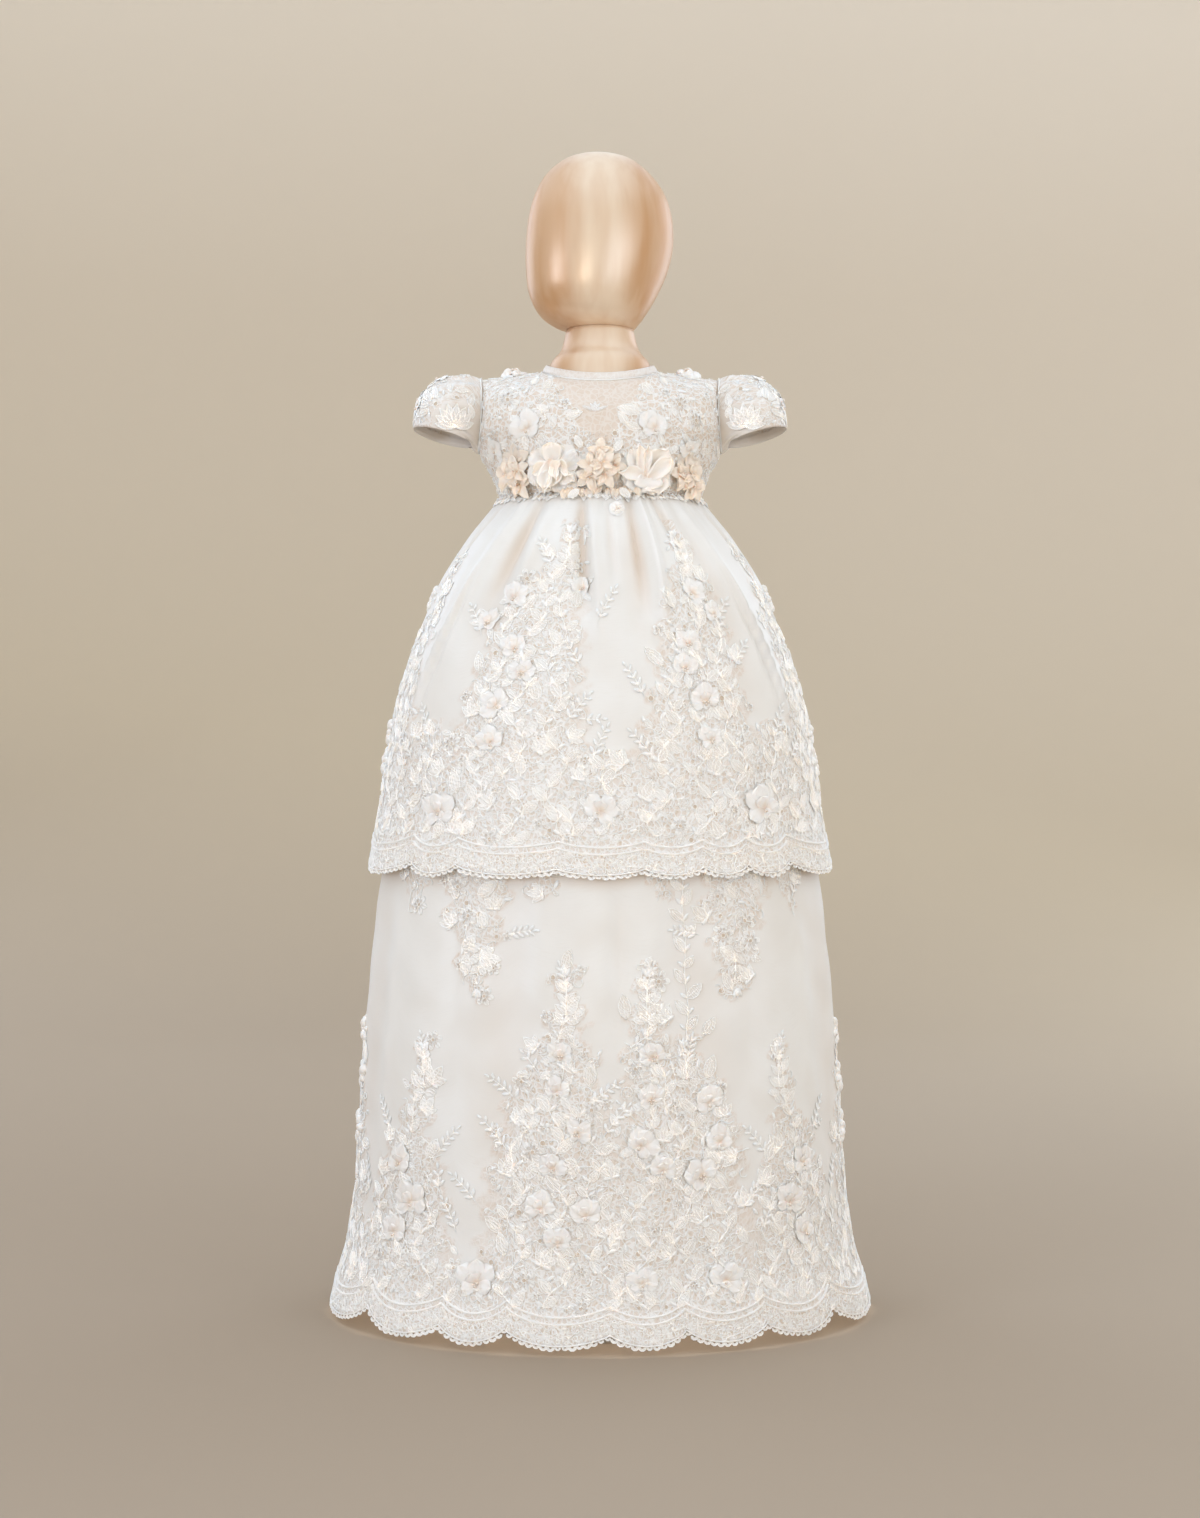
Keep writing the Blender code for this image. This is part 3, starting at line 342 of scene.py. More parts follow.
class Surface:
    # a cloth surface over s, which runs to the right, and t, which runs up, as an even grid of points
    def __init__(self, sValues, tValues, points):
        self.s, self.t, self.points = sValues, tValues, points
        self.stepS, self.stepT = sValues[1] - sValues[0], tValues[1] - tValues[0]
        right = np.gradient(points, axis=1)
        up = np.gradient(points, axis=0)
        outward = np.cross(right, up)
        self.normals = outward / np.maximum(np.linalg.norm(outward, axis=2, keepdims=True), 1e-12)
        self.perS = np.linalg.norm(right, axis=2, keepdims=True) / self.stepS
        self.perT = np.linalg.norm(up, axis=2, keepdims=True) / self.stepT

    def read(self, table, s, t):
        a = np.clip((s - self.s[0]) / self.stepS, 0, len(self.s) - 1.001)
        b = np.clip((t - self.t[0]) / self.stepT, 0, len(self.t) - 1.001)
        i, j = a.astype(int), b.astype(int)
        fa, fb = (a - i)[..., None], (b - j)[..., None]
        low = table[j, i] * (1 - fa) + table[j, i + 1] * fa
        high = table[j + 1, i] * (1 - fa) + table[j + 1, i + 1] * fa
        return low * (1 - fb) + high * fb

    def scales(self, s, t):
        # metres for one unit of s and of t
        s, t = np.asarray(s, float), np.asarray(t, float)
        return self.read(self.perS, s, t)[..., 0], self.read(self.perT, s, t)[..., 0]

    def at(self, s, t, out=0.0):
        s, t = np.asarray(s, float), np.asarray(t, float)
        normal = self.read(self.normals, s, t)
        normal = normal / np.maximum(np.linalg.norm(normal, axis=-1, keepdims=True), 1e-9)
        return self.read(self.points, s, t) + normal * np.broadcast_to(out, s.shape)[..., None]

    def wrap(self, spots, local):
        # lays a small shape (x right, y up, z out) on the cloth at each spot (s, t, turn, size, lift)
        s0, t0, turn, size, lift = [spots[:, k, None] for k in range(5)]
        x = size * (local[:, 0] * np.cos(turn) - local[:, 1] * np.sin(turn))
        y = size * (local[:, 0] * np.sin(turn) + local[:, 1] * np.cos(turn))
        perS, perT = self.scales(s0, t0)
        return self.at(s0 + x / perS, t0 + y / perT, size * local[:, 2] + lift)

    def nearest(self, away):
        j, i = np.unravel_index(np.argmin(away), away.shape)
        return self.s[i], self.t[j]

    def find(self, x, z):
        # s and t of the place that is seen at x and z from the front
        hidden = 10 * (self.normals[..., 1] > 0.3)
        return self.nearest(np.hypot(self.points[..., 0] - x, self.points[..., 2] - z) + hidden)

    def findBehind(self, x, z):
        return self.nearest(np.hypot(self.points[..., 0] + x, self.points[..., 2] - z))


def layGrid(bm, points):
    # a grid of faces laid through rows of points
    rows, columns = points.shape[:2]
    verts = bmesh.ops.create_grid(bm, x_segments=columns - 1, y_segments=rows - 1, size=1)["verts"]
    for vert, place in zip(verts, points.reshape(-1, 3)):
        vert.co = place


def gridShape(rows):
    # points and faces of a grid laid through rows of points, with doubled points merged
    bm = bmesh.new()
    layGrid(bm, np.asarray(rows, float))
    return shapeOf(bm)


def shapeOf(bm):
    # the points of a small mesh, and its triangles and squares in an array each
    bmesh.ops.remove_doubles(bm, verts=bm.verts, dist=mergeDistance)
    if not any(edge.is_boundary for edge in bm.edges):
        bmesh.ops.recalc_face_normals(bm, faces=bm.faces)
    bm.verts.index_update()
    points = np.array([vert.co[:] for vert in bm.verts])
    corners = [[vert.index for vert in face.verts] for face in bm.faces]
    bm.free()
    groups = [[face for face in corners if len(face) == count] for count in (3, 4)]
    return points, [np.array(group) for group in groups if group]


def tube(path, radius, normals=None, whole=False):
    # a thin cord along a path: its two upper sides, or all three; an open path has pointed ends
    path = np.asarray(path, float)
    if normals is None:
        normals = np.tile((0.0, 0.0, 1.0), (len(path), 1))
    if path.shape[1] == 2:
        path = np.column_stack([path, np.full(len(path), radius * 0.4)])
    along = np.gradient(path, axis=0)
    closed = np.linalg.norm(path[0] - path[-1]) < 1e-7
    if closed:
        along[0] = along[-1] = path[1] - path[-2]
    side = np.cross(along, normals)
    side /= np.maximum(np.linalg.norm(side, axis=1, keepdims=True), 1e-12)
    widths = np.full((len(path), 1), radius)
    if not closed:
        widths[[0, -1]] = 0
    turns = (-math.pi / 6, math.pi / 2, math.pi * 7 / 6) + whole * (-math.pi / 6,)
    return gridShape([path + (side * math.cos(a) + normals * math.sin(a)) * widths for a in turns])


def leafOutline(length, width):
    # one side of a pointed leaf, from its foot to its tip
    u = np.linspace(0, 1, 6)
    return np.column_stack([u * length, width / 2 * np.sin(math.pi * u**0.85) ** 0.8])


def bothSides(edge):
    return np.concatenate([edge, (edge * (1, -1))[-2::-1]])


def onCircle(angles):
    return np.column_stack([np.cos(angles), np.sin(angles)])


def turned(shape, angle, centre=(0, 0, 0), size=1.0):
    points, faces = shape
    c, s = math.cos(angle), math.sin(angle)
    spin = np.array([[c, s, 0], [-s, c, 0], [0, 0, 1]])
    return points * size @ spin + centre, faces


def turnedAll(shapes, angle, centre=(0, 0, 0), size=1.0):
    return [(turned(shape, angle, centre, size), slot) for shape, slot in shapes]


def leafShapes(length=0.013, width=0.0062, cord=0.00038):
    # a leaf with a low domed fill, a corded edge and a corded vein: (shape, material slot) pairs
    edge = leafOutline(length, width)
    sag = np.sin(math.pi * np.linspace(0, 1, len(edge)))
    rows = [
        np.column_stack([edge[:, 0], edge[:, 1] * k, 0.0003 * (1 - k * k) * sag + 0.00010])
        for k in (-1, 0, 1)
    ]
    vein = np.column_stack([np.linspace(0, length * 0.85, 5), [0, 0.0003, 0.0004, 0.0002, 0], [0.0006] * 5])
    return [(gridShape(rows), 1), (tube(bothSides(edge), cord), 0), (tube(vein, cord * 0.8), 0)]


def budShapes(length=0.0072, width=0.0030):
    # a small plump oval worked in satin stitch
    u = np.linspace(0, 1, 5)
    half = width / 2 * np.sin(math.pi * u) ** 0.7
    rows = [
        np.column_stack([u * length, half * math.cos(a), half * 0.5 * math.sin(a)])
        for a in np.linspace(math.pi, 0, 4)
    ]
    return [(gridShape(rows), 0)]


def branchShapes(length, pairs, bend):
    # a curved stem with buds in pairs and one at its tip
    u = np.linspace(0, 1, 7)
    stem = np.column_stack([u * length, bend * length * u**2, np.full(7, 0.0004)])
    shapes = [(tube(stem, 0.00045), 0)]
    for k in range(pairs * 2 + 1):
        share = 1.0 if k == pairs * 2 else (k // 2 + 1) / (pairs + 0.6)
        lean = 0 if k == pairs * 2 else (0.8 if k % 2 else -0.8)
        centre = (share * length, bend * length * share**2, 0.0002)
        shapes += turnedAll(budShapes(), lean + math.atan(2 * bend * share), centre, 1.15 - 0.3 * share)
    return shapes


def curlShapes(size=0.0060, cord=0.0005):
    # an open corded loop that springs from a stem and curls back to it
    a = np.linspace(-2.9, 1.6, 12)
    reach = size * (0.5 - 0.14 * a / 2.9)
    return [(tube(np.column_stack([size * 0.6 + np.cos(a) * reach, np.sin(a) * reach]), cord), 0)]


def sprigShapes(length):
    # the slim top of a spray: three buds, two curls and pairs of leaves up one stem
    sway = 0.0006 * np.sin(np.arange(6))
    stem = np.column_stack([np.linspace(0, length * 0.8, 6), sway, np.full(6, 0.0004)])
    shapes = [(tube(stem, 0.0005), 0)]
    for lean in (-0.42, 0.03, 0.5):
        shapes += turnedAll(budShapes(), lean, (length * 0.80, 0, 0.0002), 1.2)
    for side in (-1, 1):
        shapes += [
            ((points * (1, side, 1), [faces[:, ::side] for faces in groups]), slot)
            for (points, groups), slot in turnedAll(curlShapes(), 0.5, (length * 0.56, 0, 0.0002))
        ]
        for share, size, lean in ((0.36, 0.010, 0.75), (0.14, 0.0125, 0.85), (0.02, 0.011, 1.5)):
            shapes += turnedAll(leafShapes(size, size * 0.52), side * lean, (length * share, 0, 0.0002))
    return shapes


def trefoilShapes(length=0.0150, cord=0.0005):
    # three leaves that spread from one foot, with a bud on each side
    shapes = []
    for lean, size in ((-0.72, 0.86), (0, 1.05), (0.72, 0.86)):
        shapes += turnedAll(leafShapes(length, length * 0.46, cord), lean, size=size)
    for lean in (-1.5, 1.5):
        shapes += turnedAll(budShapes(), lean, (0, 0, 0.0002))
    return shapes


def cordedLeafShapes(length=0.0190, cord=0.00046):
    # a broad leaf with a second corded outline inside its first
    shapes = leafShapes(length, length * 0.5, cord)
    inner = leafOutline(length * 0.7, length * 0.27)
    loop = bothSides(inner) + (length * 0.08, 0)
    return shapes + [(tube(np.column_stack([loop, np.full(len(loop), 0.0006)]), cord * 0.7), 0)]


def ringShapes(radius, cord=0.00036, centre=True):
    # an eyelet: a corded ring round a middle disc painted with the shade under the lace
    shapes = [(tube(onCircle(np.linspace(0, 2 * math.pi, 8)) * radius, cord), 0)]
    if centre:
        bm = bmesh.new()
        bmesh.ops.create_circle(bm, cap_ends=True, cap_tris=True, segments=6, radius=radius)
        bmesh.ops.translate(bm, verts=bm.verts, vec=(0, 0, 0.00015))
        shapes.append((shapeOf(bm), 4))
    return shapes


def loopFlowerShapes(petals, radius, cord=0.0004):
    # a flat worked flower: corded petal loops round a ring
    shapes = ringShapes(radius * 0.2, cord)
    for k in range(petals):
        spread = np.linspace(-1, 1, 9)
        reach = radius * (0.28 + 0.72 * np.cos(spread * math.pi / 2) ** 0.6)
        angle = 2 * math.pi * k / petals + spread * math.pi / petals * 0.9
        loop = onCircle(angle) * reach[:, None]
        shapes.append((tube(loop, cord), 0))
        fan = np.array([[0, 0, 0.0003]] + [[*p, 0.00015] for p in loop])
        middle = 0.6 * fan[1:] + (0, 0, 0.0004)
        shapes.append((gridShape([middle, fan[1:]][::-1]), 1))
    return shapes


def scrollShapes(size, turns=1.4, cord=0.0004):
    a = np.linspace(0, turns * 2 * math.pi, 16)
    reach = size * (0.25 + 0.75 * a / a[-1])
    return [(tube(onCircle(a) * reach[:, None] * 0.6, cord), 0)]


def strayThread(curl, length, cord=0.00042):
    # a fine cord that wanders over the net and curls at its end
    u = np.linspace(0, 1, 13)
    lean = curl * 5.5 * u**2 + 0.7 * np.sin(9 * u)
    path = np.column_stack([np.cumsum(np.cos(lean)), np.cumsum(np.sin(lean))]) * length / len(u)
    return [(tube(path - path.mean(axis=0), cord), 0)]


def fanShapes(petals, length, cord):
    # a half flower seen from the side: long petals that spread from one foot
    shapes = []
    for k in range(petals):
        lean = math.pi * (0.08 + 0.84 * k / (petals - 1))
        reach = length * (0.72 + 0.28 * math.sin(lean))
        shapes += turnedAll(leafShapes(reach, length * 0.33, cord), lean)
    return shapes


def petalGrid(across, along):
    # u across a petal from -1 to 1, v from its foot to its tip
    return np.meshgrid(np.linspace(-1, 1, across), np.linspace(0, 1, along), indexing="ij")


def softPetal(rng, length, width, bulge, rows, tilt=0.0, ruffle=0.0):
    # a broad soft petal along +x: gathered at its foot, domed in its middle, waved along its edge
    u, v = petalGrid(9, rows)
    tip = np.clip((v - 0.62) / 0.38, 0, 1)
    swell = 0.30 + 0.70 * np.sin(math.pi * np.clip(v / 1.3, 0, 1)) ** 0.9
    half = width / 2 * swell * np.sqrt(1 - tip**2.6 * 0.985)
    phase = rng.uniform(0, 6.28)
    dome = np.sin(math.pi * (0.06 + 0.80 * v)) * (1 - 0.70 * u * u)
    folds = 0.16 * np.sin(math.pi * v) * (1 - v) * np.cos(1.7 * math.pi * u + phase)
    wave = 0.13 * v * v * np.sin(4.2 * u + phase) + 0.16 * np.sin(5 * v + phase) * u
    z = bulge * (dome + folds + wave) + tilt * length * v**1.4 + ruffle * v**2 * np.sin(6.5 * u + 2 * phase)
    x = length * v * (1 - 0.08 * u * u * v - 0.07 * v * np.cos(2.2 * u + 0.6 * math.sin(phase)))
    y = half * u + 0.06 * width * v * math.sin(phase)
    # the second array sets the painted shade: shaded at the foot, lit towards the tip and down the middle
    return np.stack([x, y, z], axis=-1), np.clip(v + 0.25 * (1 - u * u), 0, 1)


def curledPetal(rng, length, width, cup, bend, tilt):
    # a satin petal along +x: hollow along its middle, bent to one side, its ruffled edges rolled back
    u, v = petalGrid(13, 11)
    tip = np.clip((v - 0.60) / 0.40, 0, 1)
    swell = 0.36 + 0.64 * np.sin(math.pi * np.clip(v / 1.35, 0, 1)) ** 0.8
    half = width / 2 * swell * np.sqrt(1 - tip**2.8 * 0.98)
    phase = rng.uniform(0, 6.28)
    edge = np.clip(np.maximum(np.abs(u), v * 1.02) - 0.70, 0, 1) / 0.30
    grown = np.sin(math.pi * np.clip(v * 0.62 + 0.06, 0, 1))
    z = cup * width * (0.50 * u * u * grown + 0.22 * v**3)
    z = z + tilt * length * v**1.3 - 0.14 * width * edge**2.2
    z = z + 0.0008 * v * np.sin(3.4 * u + 2.4 * v + phase)
    z = z + 0.0006 * edge * np.sin(8 * u + 6 * v + 2 * phase)
    x = length * v * (1 - 0.10 * u * u * v - 0.05 * v * np.cos(3 * u + phase))
    y = half * u + bend * length * v * v + 0.03 * width * np.sin(4 * v + phase)
    # the second array sets the painted shade: shaded at the foot and down the hollow middle, lit towards
    # the tip and along the rolled edges
    return np.stack([x, y, z], axis=-1), np.clip(0.75 * v + 0.45 * u * u + 0.1, 0, 1)


def beadShape(radius, subdivisions=1):
    bm = bmesh.new()
    bmesh.ops.create_icosphere(bm, subdivisions=subdivisions, radius=radius)
    return shapeOf(bm)


def studShape(radius):
    # a tiny pointed bead, open underneath
    bm = bmesh.new()
    bmesh.ops.create_cone(bm, segments=5, radius1=radius, radius2=0, depth=radius * 1.4)
    bmesh.ops.translate(bm, verts=bm.verts, vec=(0, 0, radius * 0.5))
    return shapeOf(bm)


flowerPetals = (
    # direction from straight up, length and width as shares of the size, tilt, and lift in millimetres
    (148, 0.48, 0.80, 0.00, 0.1), (-152, 0.46, 0.80, 0.00, 0.2), (-102, 0.90, 0.84, 0.04, 0.2),
    (100, 0.92, 0.86, 0.04, 0.3), (-54, 1.08, 0.94, 0.06, 0.3), (52, 1.12, 0.96, 0.07, 0.5),
    (-2, 1.10, 0.98, 0.10, 0.7), (14, 0.52, 0.80, 0.30, 1.0),
)
standingPetals = (
    (60, 1.0, 1.2, 0.05, 0.2), (-65, 1.0, 1.2, 0.05, 0.3), (0, 1.1, 1.3, 0.06, 0.6),
    (180, 1.0, 1.2, 0.04, 0.4), (125, 0.9, 1.0, 0.05, 0.3), (-120, 0.9, 1.0, 0.05, 0.3),
    (20, 0.6, 0.9, 0.20, 1.0),
)


def flowerShapes(rng, size, rise, pearls, petals):
    # a chiffon flower: soft petals that overlap into a shallow cup, and pearls low in its middle
    shapes = []
    for direction, length, width, tilt, lift in petals:
        reach, across = size * length * rng.uniform(0.85, 1.12), size * width * rng.uniform(0.85, 1.1)
        bulge, lean = rise * rng.uniform(0.5, 1.1), tilt * rng.uniform(0.5, 1.3)
        rows = softPetal(rng, reach, across, bulge, 8, lean, rise * 0.45)[0]
        angle = math.radians(90 + direction + rng.uniform(-20, 20))
        shapes.append((turned(gridShape(rows), angle, (0, 0, lift / 1000)), 2))
    bead = beadShape(0.00120, 2)
    for k in range(pearls):
        angle = 2.2 * k - 1.9
        foot = (0.0014 * math.cos(angle), 0.0014 * math.sin(angle) - 0.0016, rise + 0.0010)
        shapes.append(((bead[0] + foot, bead[1]), 3))
    return shapes


def storeDepth(mesh, depths):
    # how far each point lies from the foot of its petal, which sets the petals' painted shade at the foot
    # and painted light towards the tip
    mesh.attributes.new("depth", "FLOAT", "POINT").data.foreach_set("value", depths)


class Trim:
    # many small shapes gathered into the arrays of one mesh
    def __init__(self):
        self.points, self.faces, self.slots, self.depths, self.count = [], [], [], [], 0

    def add(self, shape, slot, copies=None, depth=None):
        points, faceSets = shape
        copies = points[None] if copies is None else copies
        number, size = copies.shape[:2]
        self.points.append(copies.reshape(-1, 3))
        depth = np.full(size, 0.7) if depth is None else depth
        self.depths.append(np.tile(depth, number))
        shifts = self.count + size * np.arange(number)
        for faces in faceSets:
            self.faces.append((faces[None] + shifts[:, None, None]).reshape(-1, faces.shape[1]))
            self.slots.append(np.full(number * len(faces), slot))
        self.count += number * size

    def stamp(self, surface, shapes, spots):
        if len(spots):
            spots = np.asarray(spots, float)
            for shape, slot in shapes:
                # chiffon petals get painted shade at the flower's middle and painted light towards their
                # outer ends
                reach = np.linalg.norm(shape[0][:, :2], axis=1)
                depth = np.clip(reach / max(reach.max(), 1e-9), 0, 1)
                self.add(shape, slot, surface.wrap(spots, shape[0]), depth if slot == 2 else None)

    def cord(self, surface, s, t, radius, lift=0.0002):
        # a cord laid along a path on the cloth
        points = surface.at(s, t, lift + radius * 0.5)
        normals = surface.at(s, t, 1.0) - surface.at(s, t, 0.0)
        self.add(tube(points, radius, normals), 0)

    def build(self, name, materials, slot):
        mesh = bpy.data.meshes.new(name)
        faces = [face for group in self.faces for face in group.tolist()]
        mesh.from_pydata(np.concatenate(self.points).tolist(), [], faces)
        mesh.polygons.foreach_set("material_index", np.concatenate(self.slots).astype(np.int32))
        storeDepth(mesh, np.concatenate(self.depths))
        for material in materials:
            mesh.materials.append(material)
        return addPiece(name, mesh)


laceMaterials = (threadMaterial, leafMaterial, chiffonMaterial, pearlMaterial, gapMaterial)


def addPiece(name, mesh):
    mesh.update()
    mesh.shade_smooth()
    obj = bpy.data.objects.new(name, mesh)
    scene.collection.objects.link(obj)
    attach(obj, "root")
    return obj


def meshOf(bm, name, material):
    mesh = bpy.data.meshes.new(name)
    bm.to_mesh(mesh)
    bm.free()
    mesh.materials.append(material)
    return mesh


def clothPiece(name, points, lace, closed=False, valley=0.0):
    # a sheet of cloth through rows of points, with its flat place as a UV map, its lace and its share of
    # painted shade
    bm = bmesh.new()
    layGrid(bm, points)
    rows, columns = points.shape[:2]
    flatUv, flatLace = flatPlace(points).reshape(-1, 2), lace.reshape(-1)
    flatPaintedShade = np.broadcast_to(valley, (rows, columns)).reshape(-1)
    layer = bm.loops.layers.uv.new("cloth")
    share, sunk = (bm.verts.layers.float.new(kind) for kind in ("lace", "valley"))
    for k, vert in enumerate(bm.verts):
        vert[share] = flatLace[k]
        vert[sunk] = flatPaintedShade[k]
        for loop in vert.link_loops:
            loop[layer].uv = flatUv[k]
    if closed:
        edges = [vert for k, vert in enumerate(bm.verts) if k % columns in (0, columns - 1)]
        bmesh.ops.remove_doubles(bm, verts=edges, dist=mergeDistance)
    return addPiece(name, meshOf(bm, name, clothMaterial))


def flatPlace(points):
    # distances along and across a grid of points, as a UV map in metres
    across = np.linalg.norm(np.diff(points, axis=1), axis=2)
    across = np.concatenate([np.zeros((points.shape[0], 1)), np.cumsum(across, axis=1)], axis=1)
    across -= across[:, across.shape[1] // 2, None]
    along = np.linalg.norm(np.diff(points, axis=0), axis=2)
    along = np.concatenate([np.zeros((1, points.shape[1])), np.cumsum(along, axis=0)], axis=0)
    return np.stack([across, along], axis=2)


upperTier = {
    "name": "upper",
    "heights": (0.6945, 0.6776, 0.6603, 0.6260, 0.5915, 0.5571, 0.5227, 0.4711, 0.4195, 0.3780),
    "halfWidths": (0.0860, 0.1000, 0.1140, 0.1360, 0.1510, 0.1645, 0.1745, 0.1840, 0.1905, 0.1985),
    "halfDepths": (0.0650, 0.0765, 0.0870, 0.1020, 0.1120, 0.1200, 0.1260, 0.1320, 0.1370, 0.1410),
    # angle from the front and height of each notch of the hem
    "notches": (
        (-90, 0.3880), (-52, 0.3880), (-36.5, 0.3860), (-10, 0.3835), (10.5, 0.3835), (25, 0.3850),
        (37.5, 0.3860), (52, 0.3880), (90, 0.3880),
    ),
    "lobeBottom": 0.3785,
    "gather": 0.0009,
    "gatherFade": 0.045,
    # angle at the top and at the bottom, width, rise, top and bottom of each long fold
    "folds": (
        (-52, -64, 5, 0.0035, 0.680, 0.470), (-34, -40, 5, -0.0030, 0.690, 0.520),
        (-22, -26, 4, 0.0030, 0.690, 0.560), (-9, -4, 4, -0.0030, 0.690, 0.580),
        (2, 4, 4, 0.0030, 0.690, 0.540), (10, 12, 4, -0.0030, 0.690, 0.560),
        (24, 27, 5, 0.0030, 0.690, 0.520), (38, 46, 5, -0.0030, 0.690, 0.500),
        (50, 62, 5, 0.0035, 0.680, 0.470), (72, 78, 6, -0.0030, 0.680, 0.440),
        (-72, -78, 6, -0.0030, 0.680, 0.440),
    ),
    # creases finer than the solids' folds, in the same columns
    "creases": (
        (-31, -37, 3.0, -0.0076, 0.700, 0.600), (-23.5, -28.5, 3.0, 0.0060, 0.699, 0.590),
        (-10.5, -3.5, 2.6, -0.0096, 0.702, 0.585), (-5.0, 0.5, 2.6, 0.0064, 0.700, 0.560),
        (3.5, 5.0, 2.0, -0.0050, 0.690, 0.610), (14.5, 14.8, 2.4, -0.0092, 0.702, 0.585),
        (20.6, 19.4, 2.2, 0.0080, 0.700, 0.560), (27.2, 35.0, 2.4, -0.0056, 0.702, 0.622),
        (61, 78, 2.2, -0.0036, 0.694, 0.610), (-61, -77, 2.2, -0.0036, 0.694, 0.610),
        (-42, -54, 3.2, 0.0046, 0.694, 0.550), (43, 55, 3.2, 0.0046, 0.694, 0.550),
        (-48, -62, 1.1, 0.0046, 0.640, 0.500), (-46, -60, 1.2, -0.0042, 0.640, 0.500),
        (48, 62, 1.1, 0.0046, 0.640, 0.500), (46, 60, 1.2, -0.0042, 0.640, 0.500),
    ),
    # sprays of lace: angle, height and half width in degrees down each one
    "sprays": (
        (
            (-12, 0.664, 2.2), (-12, 0.640, 4), (-16, 0.612, 9), (-20, 0.580, 13), (-22, 0.520, 15),
            (-22, 0.380, 22),
        ),
        (
            (33, 0.664, 2.2), (33, 0.640, 3.5), (31, 0.612, 8), (30, 0.580, 11), (28, 0.520, 13),
            (26, 0.380, 22),
        ),
        ((-70, 0.640, 5), (-72, 0.560, 9), (-72, 0.470, 12), (-68, 0.380, 20)),
        ((72, 0.640, 5), (74, 0.560, 9), (74, 0.470, 12), (68, 0.380, 20)),
        ((2, 0.475, 6), (2, 0.440, 14), (2, 0.380, 20)),
        ((-50, 0.500, 4), (-48, 0.450, 12), (-46, 0.380, 18)),
        ((52, 0.500, 4), (50, 0.450, 12), (48, 0.380, 18)),
    ),
    # angle, height, radius and rise of each chiffon flower
    "flowers": (
        (-6.5, 0.611, 0.014, 0.0045), (-28, 0.604, 0.016, 0.0045), (-37, 0.584, 0.014, 0.0038),
        (-25, 0.562, 0.014, 0.0045), (-22, 0.542, 0.014, 0.0045), (-28.5, 0.516, 0.015, 0.0053),
        (-29, 0.486, 0.014, 0.0045), (31, 0.608, 0.014, 0.0045), (38, 0.591, 0.014, 0.0038),
        (26, 0.566, 0.014, 0.0045), (24, 0.546, 0.014, 0.0045), (29, 0.519, 0.015, 0.0053),
        (29.5, 0.488, 0.014, 0.0045), (-44, 0.429, 0.022, 0.0068), (45, 0.432, 0.022, 0.0068),
        (0, 0.431, 0.018, 0.0045),
    ),
    "sideFlowers": ((0.609, 0.014), (0.495, 0.014), (0.470, 0.016)),
    # angle, height, turn from straight up and length of each budded branch
    "branches": (
        (-1, 0.580, -20, 0.030), (-5, 0.545, 25, 0.026), (-17, 0.628, 20, 0.024), (38, 0.575, -25, 0.030),
        (41, 0.545, -30, 0.026), (-38, 0.572, 25, 0.028), (-50, 0.485, 20, 0.030), (52, 0.485, -20, 0.030),
        (-57, 0.470, 35, 0.026), (58, 0.470, -35, 0.026), (12, 0.520, 20, 0.026), (14, 0.470, 30, 0.026),
        (-2, 0.470, -15, 0.026), (-9, 0.500, -30, 0.026),
    ),
    # angle, height of the foot, turn from straight up and length of each slim sprig
    "tips": (
        (-12, 0.628, 0, 0.040), (33, 0.628, 3, 0.040), (-70, 0.600, 0, 0.044), (72, 0.600, 0, 0.044),
    ),
    # drop below the waist seam, gap and shapes of each row of the lace edging
    "waistEdge": (
        (0.0022, 0.0042, budShapes(0.0058, 0.0030)), (0.0008, 0.0072, leafShapes(0.0085, 0.0050)),
        (0.0035, 0.0125, ringShapes(0.0019)), (0.0010, 0.0031, [(beadShape(0.0009), 0)]),
    ),
    "clothRows": 92,
    "topRows": 0,
    "leafGap": 0.0086,
    "seed": 11,
}

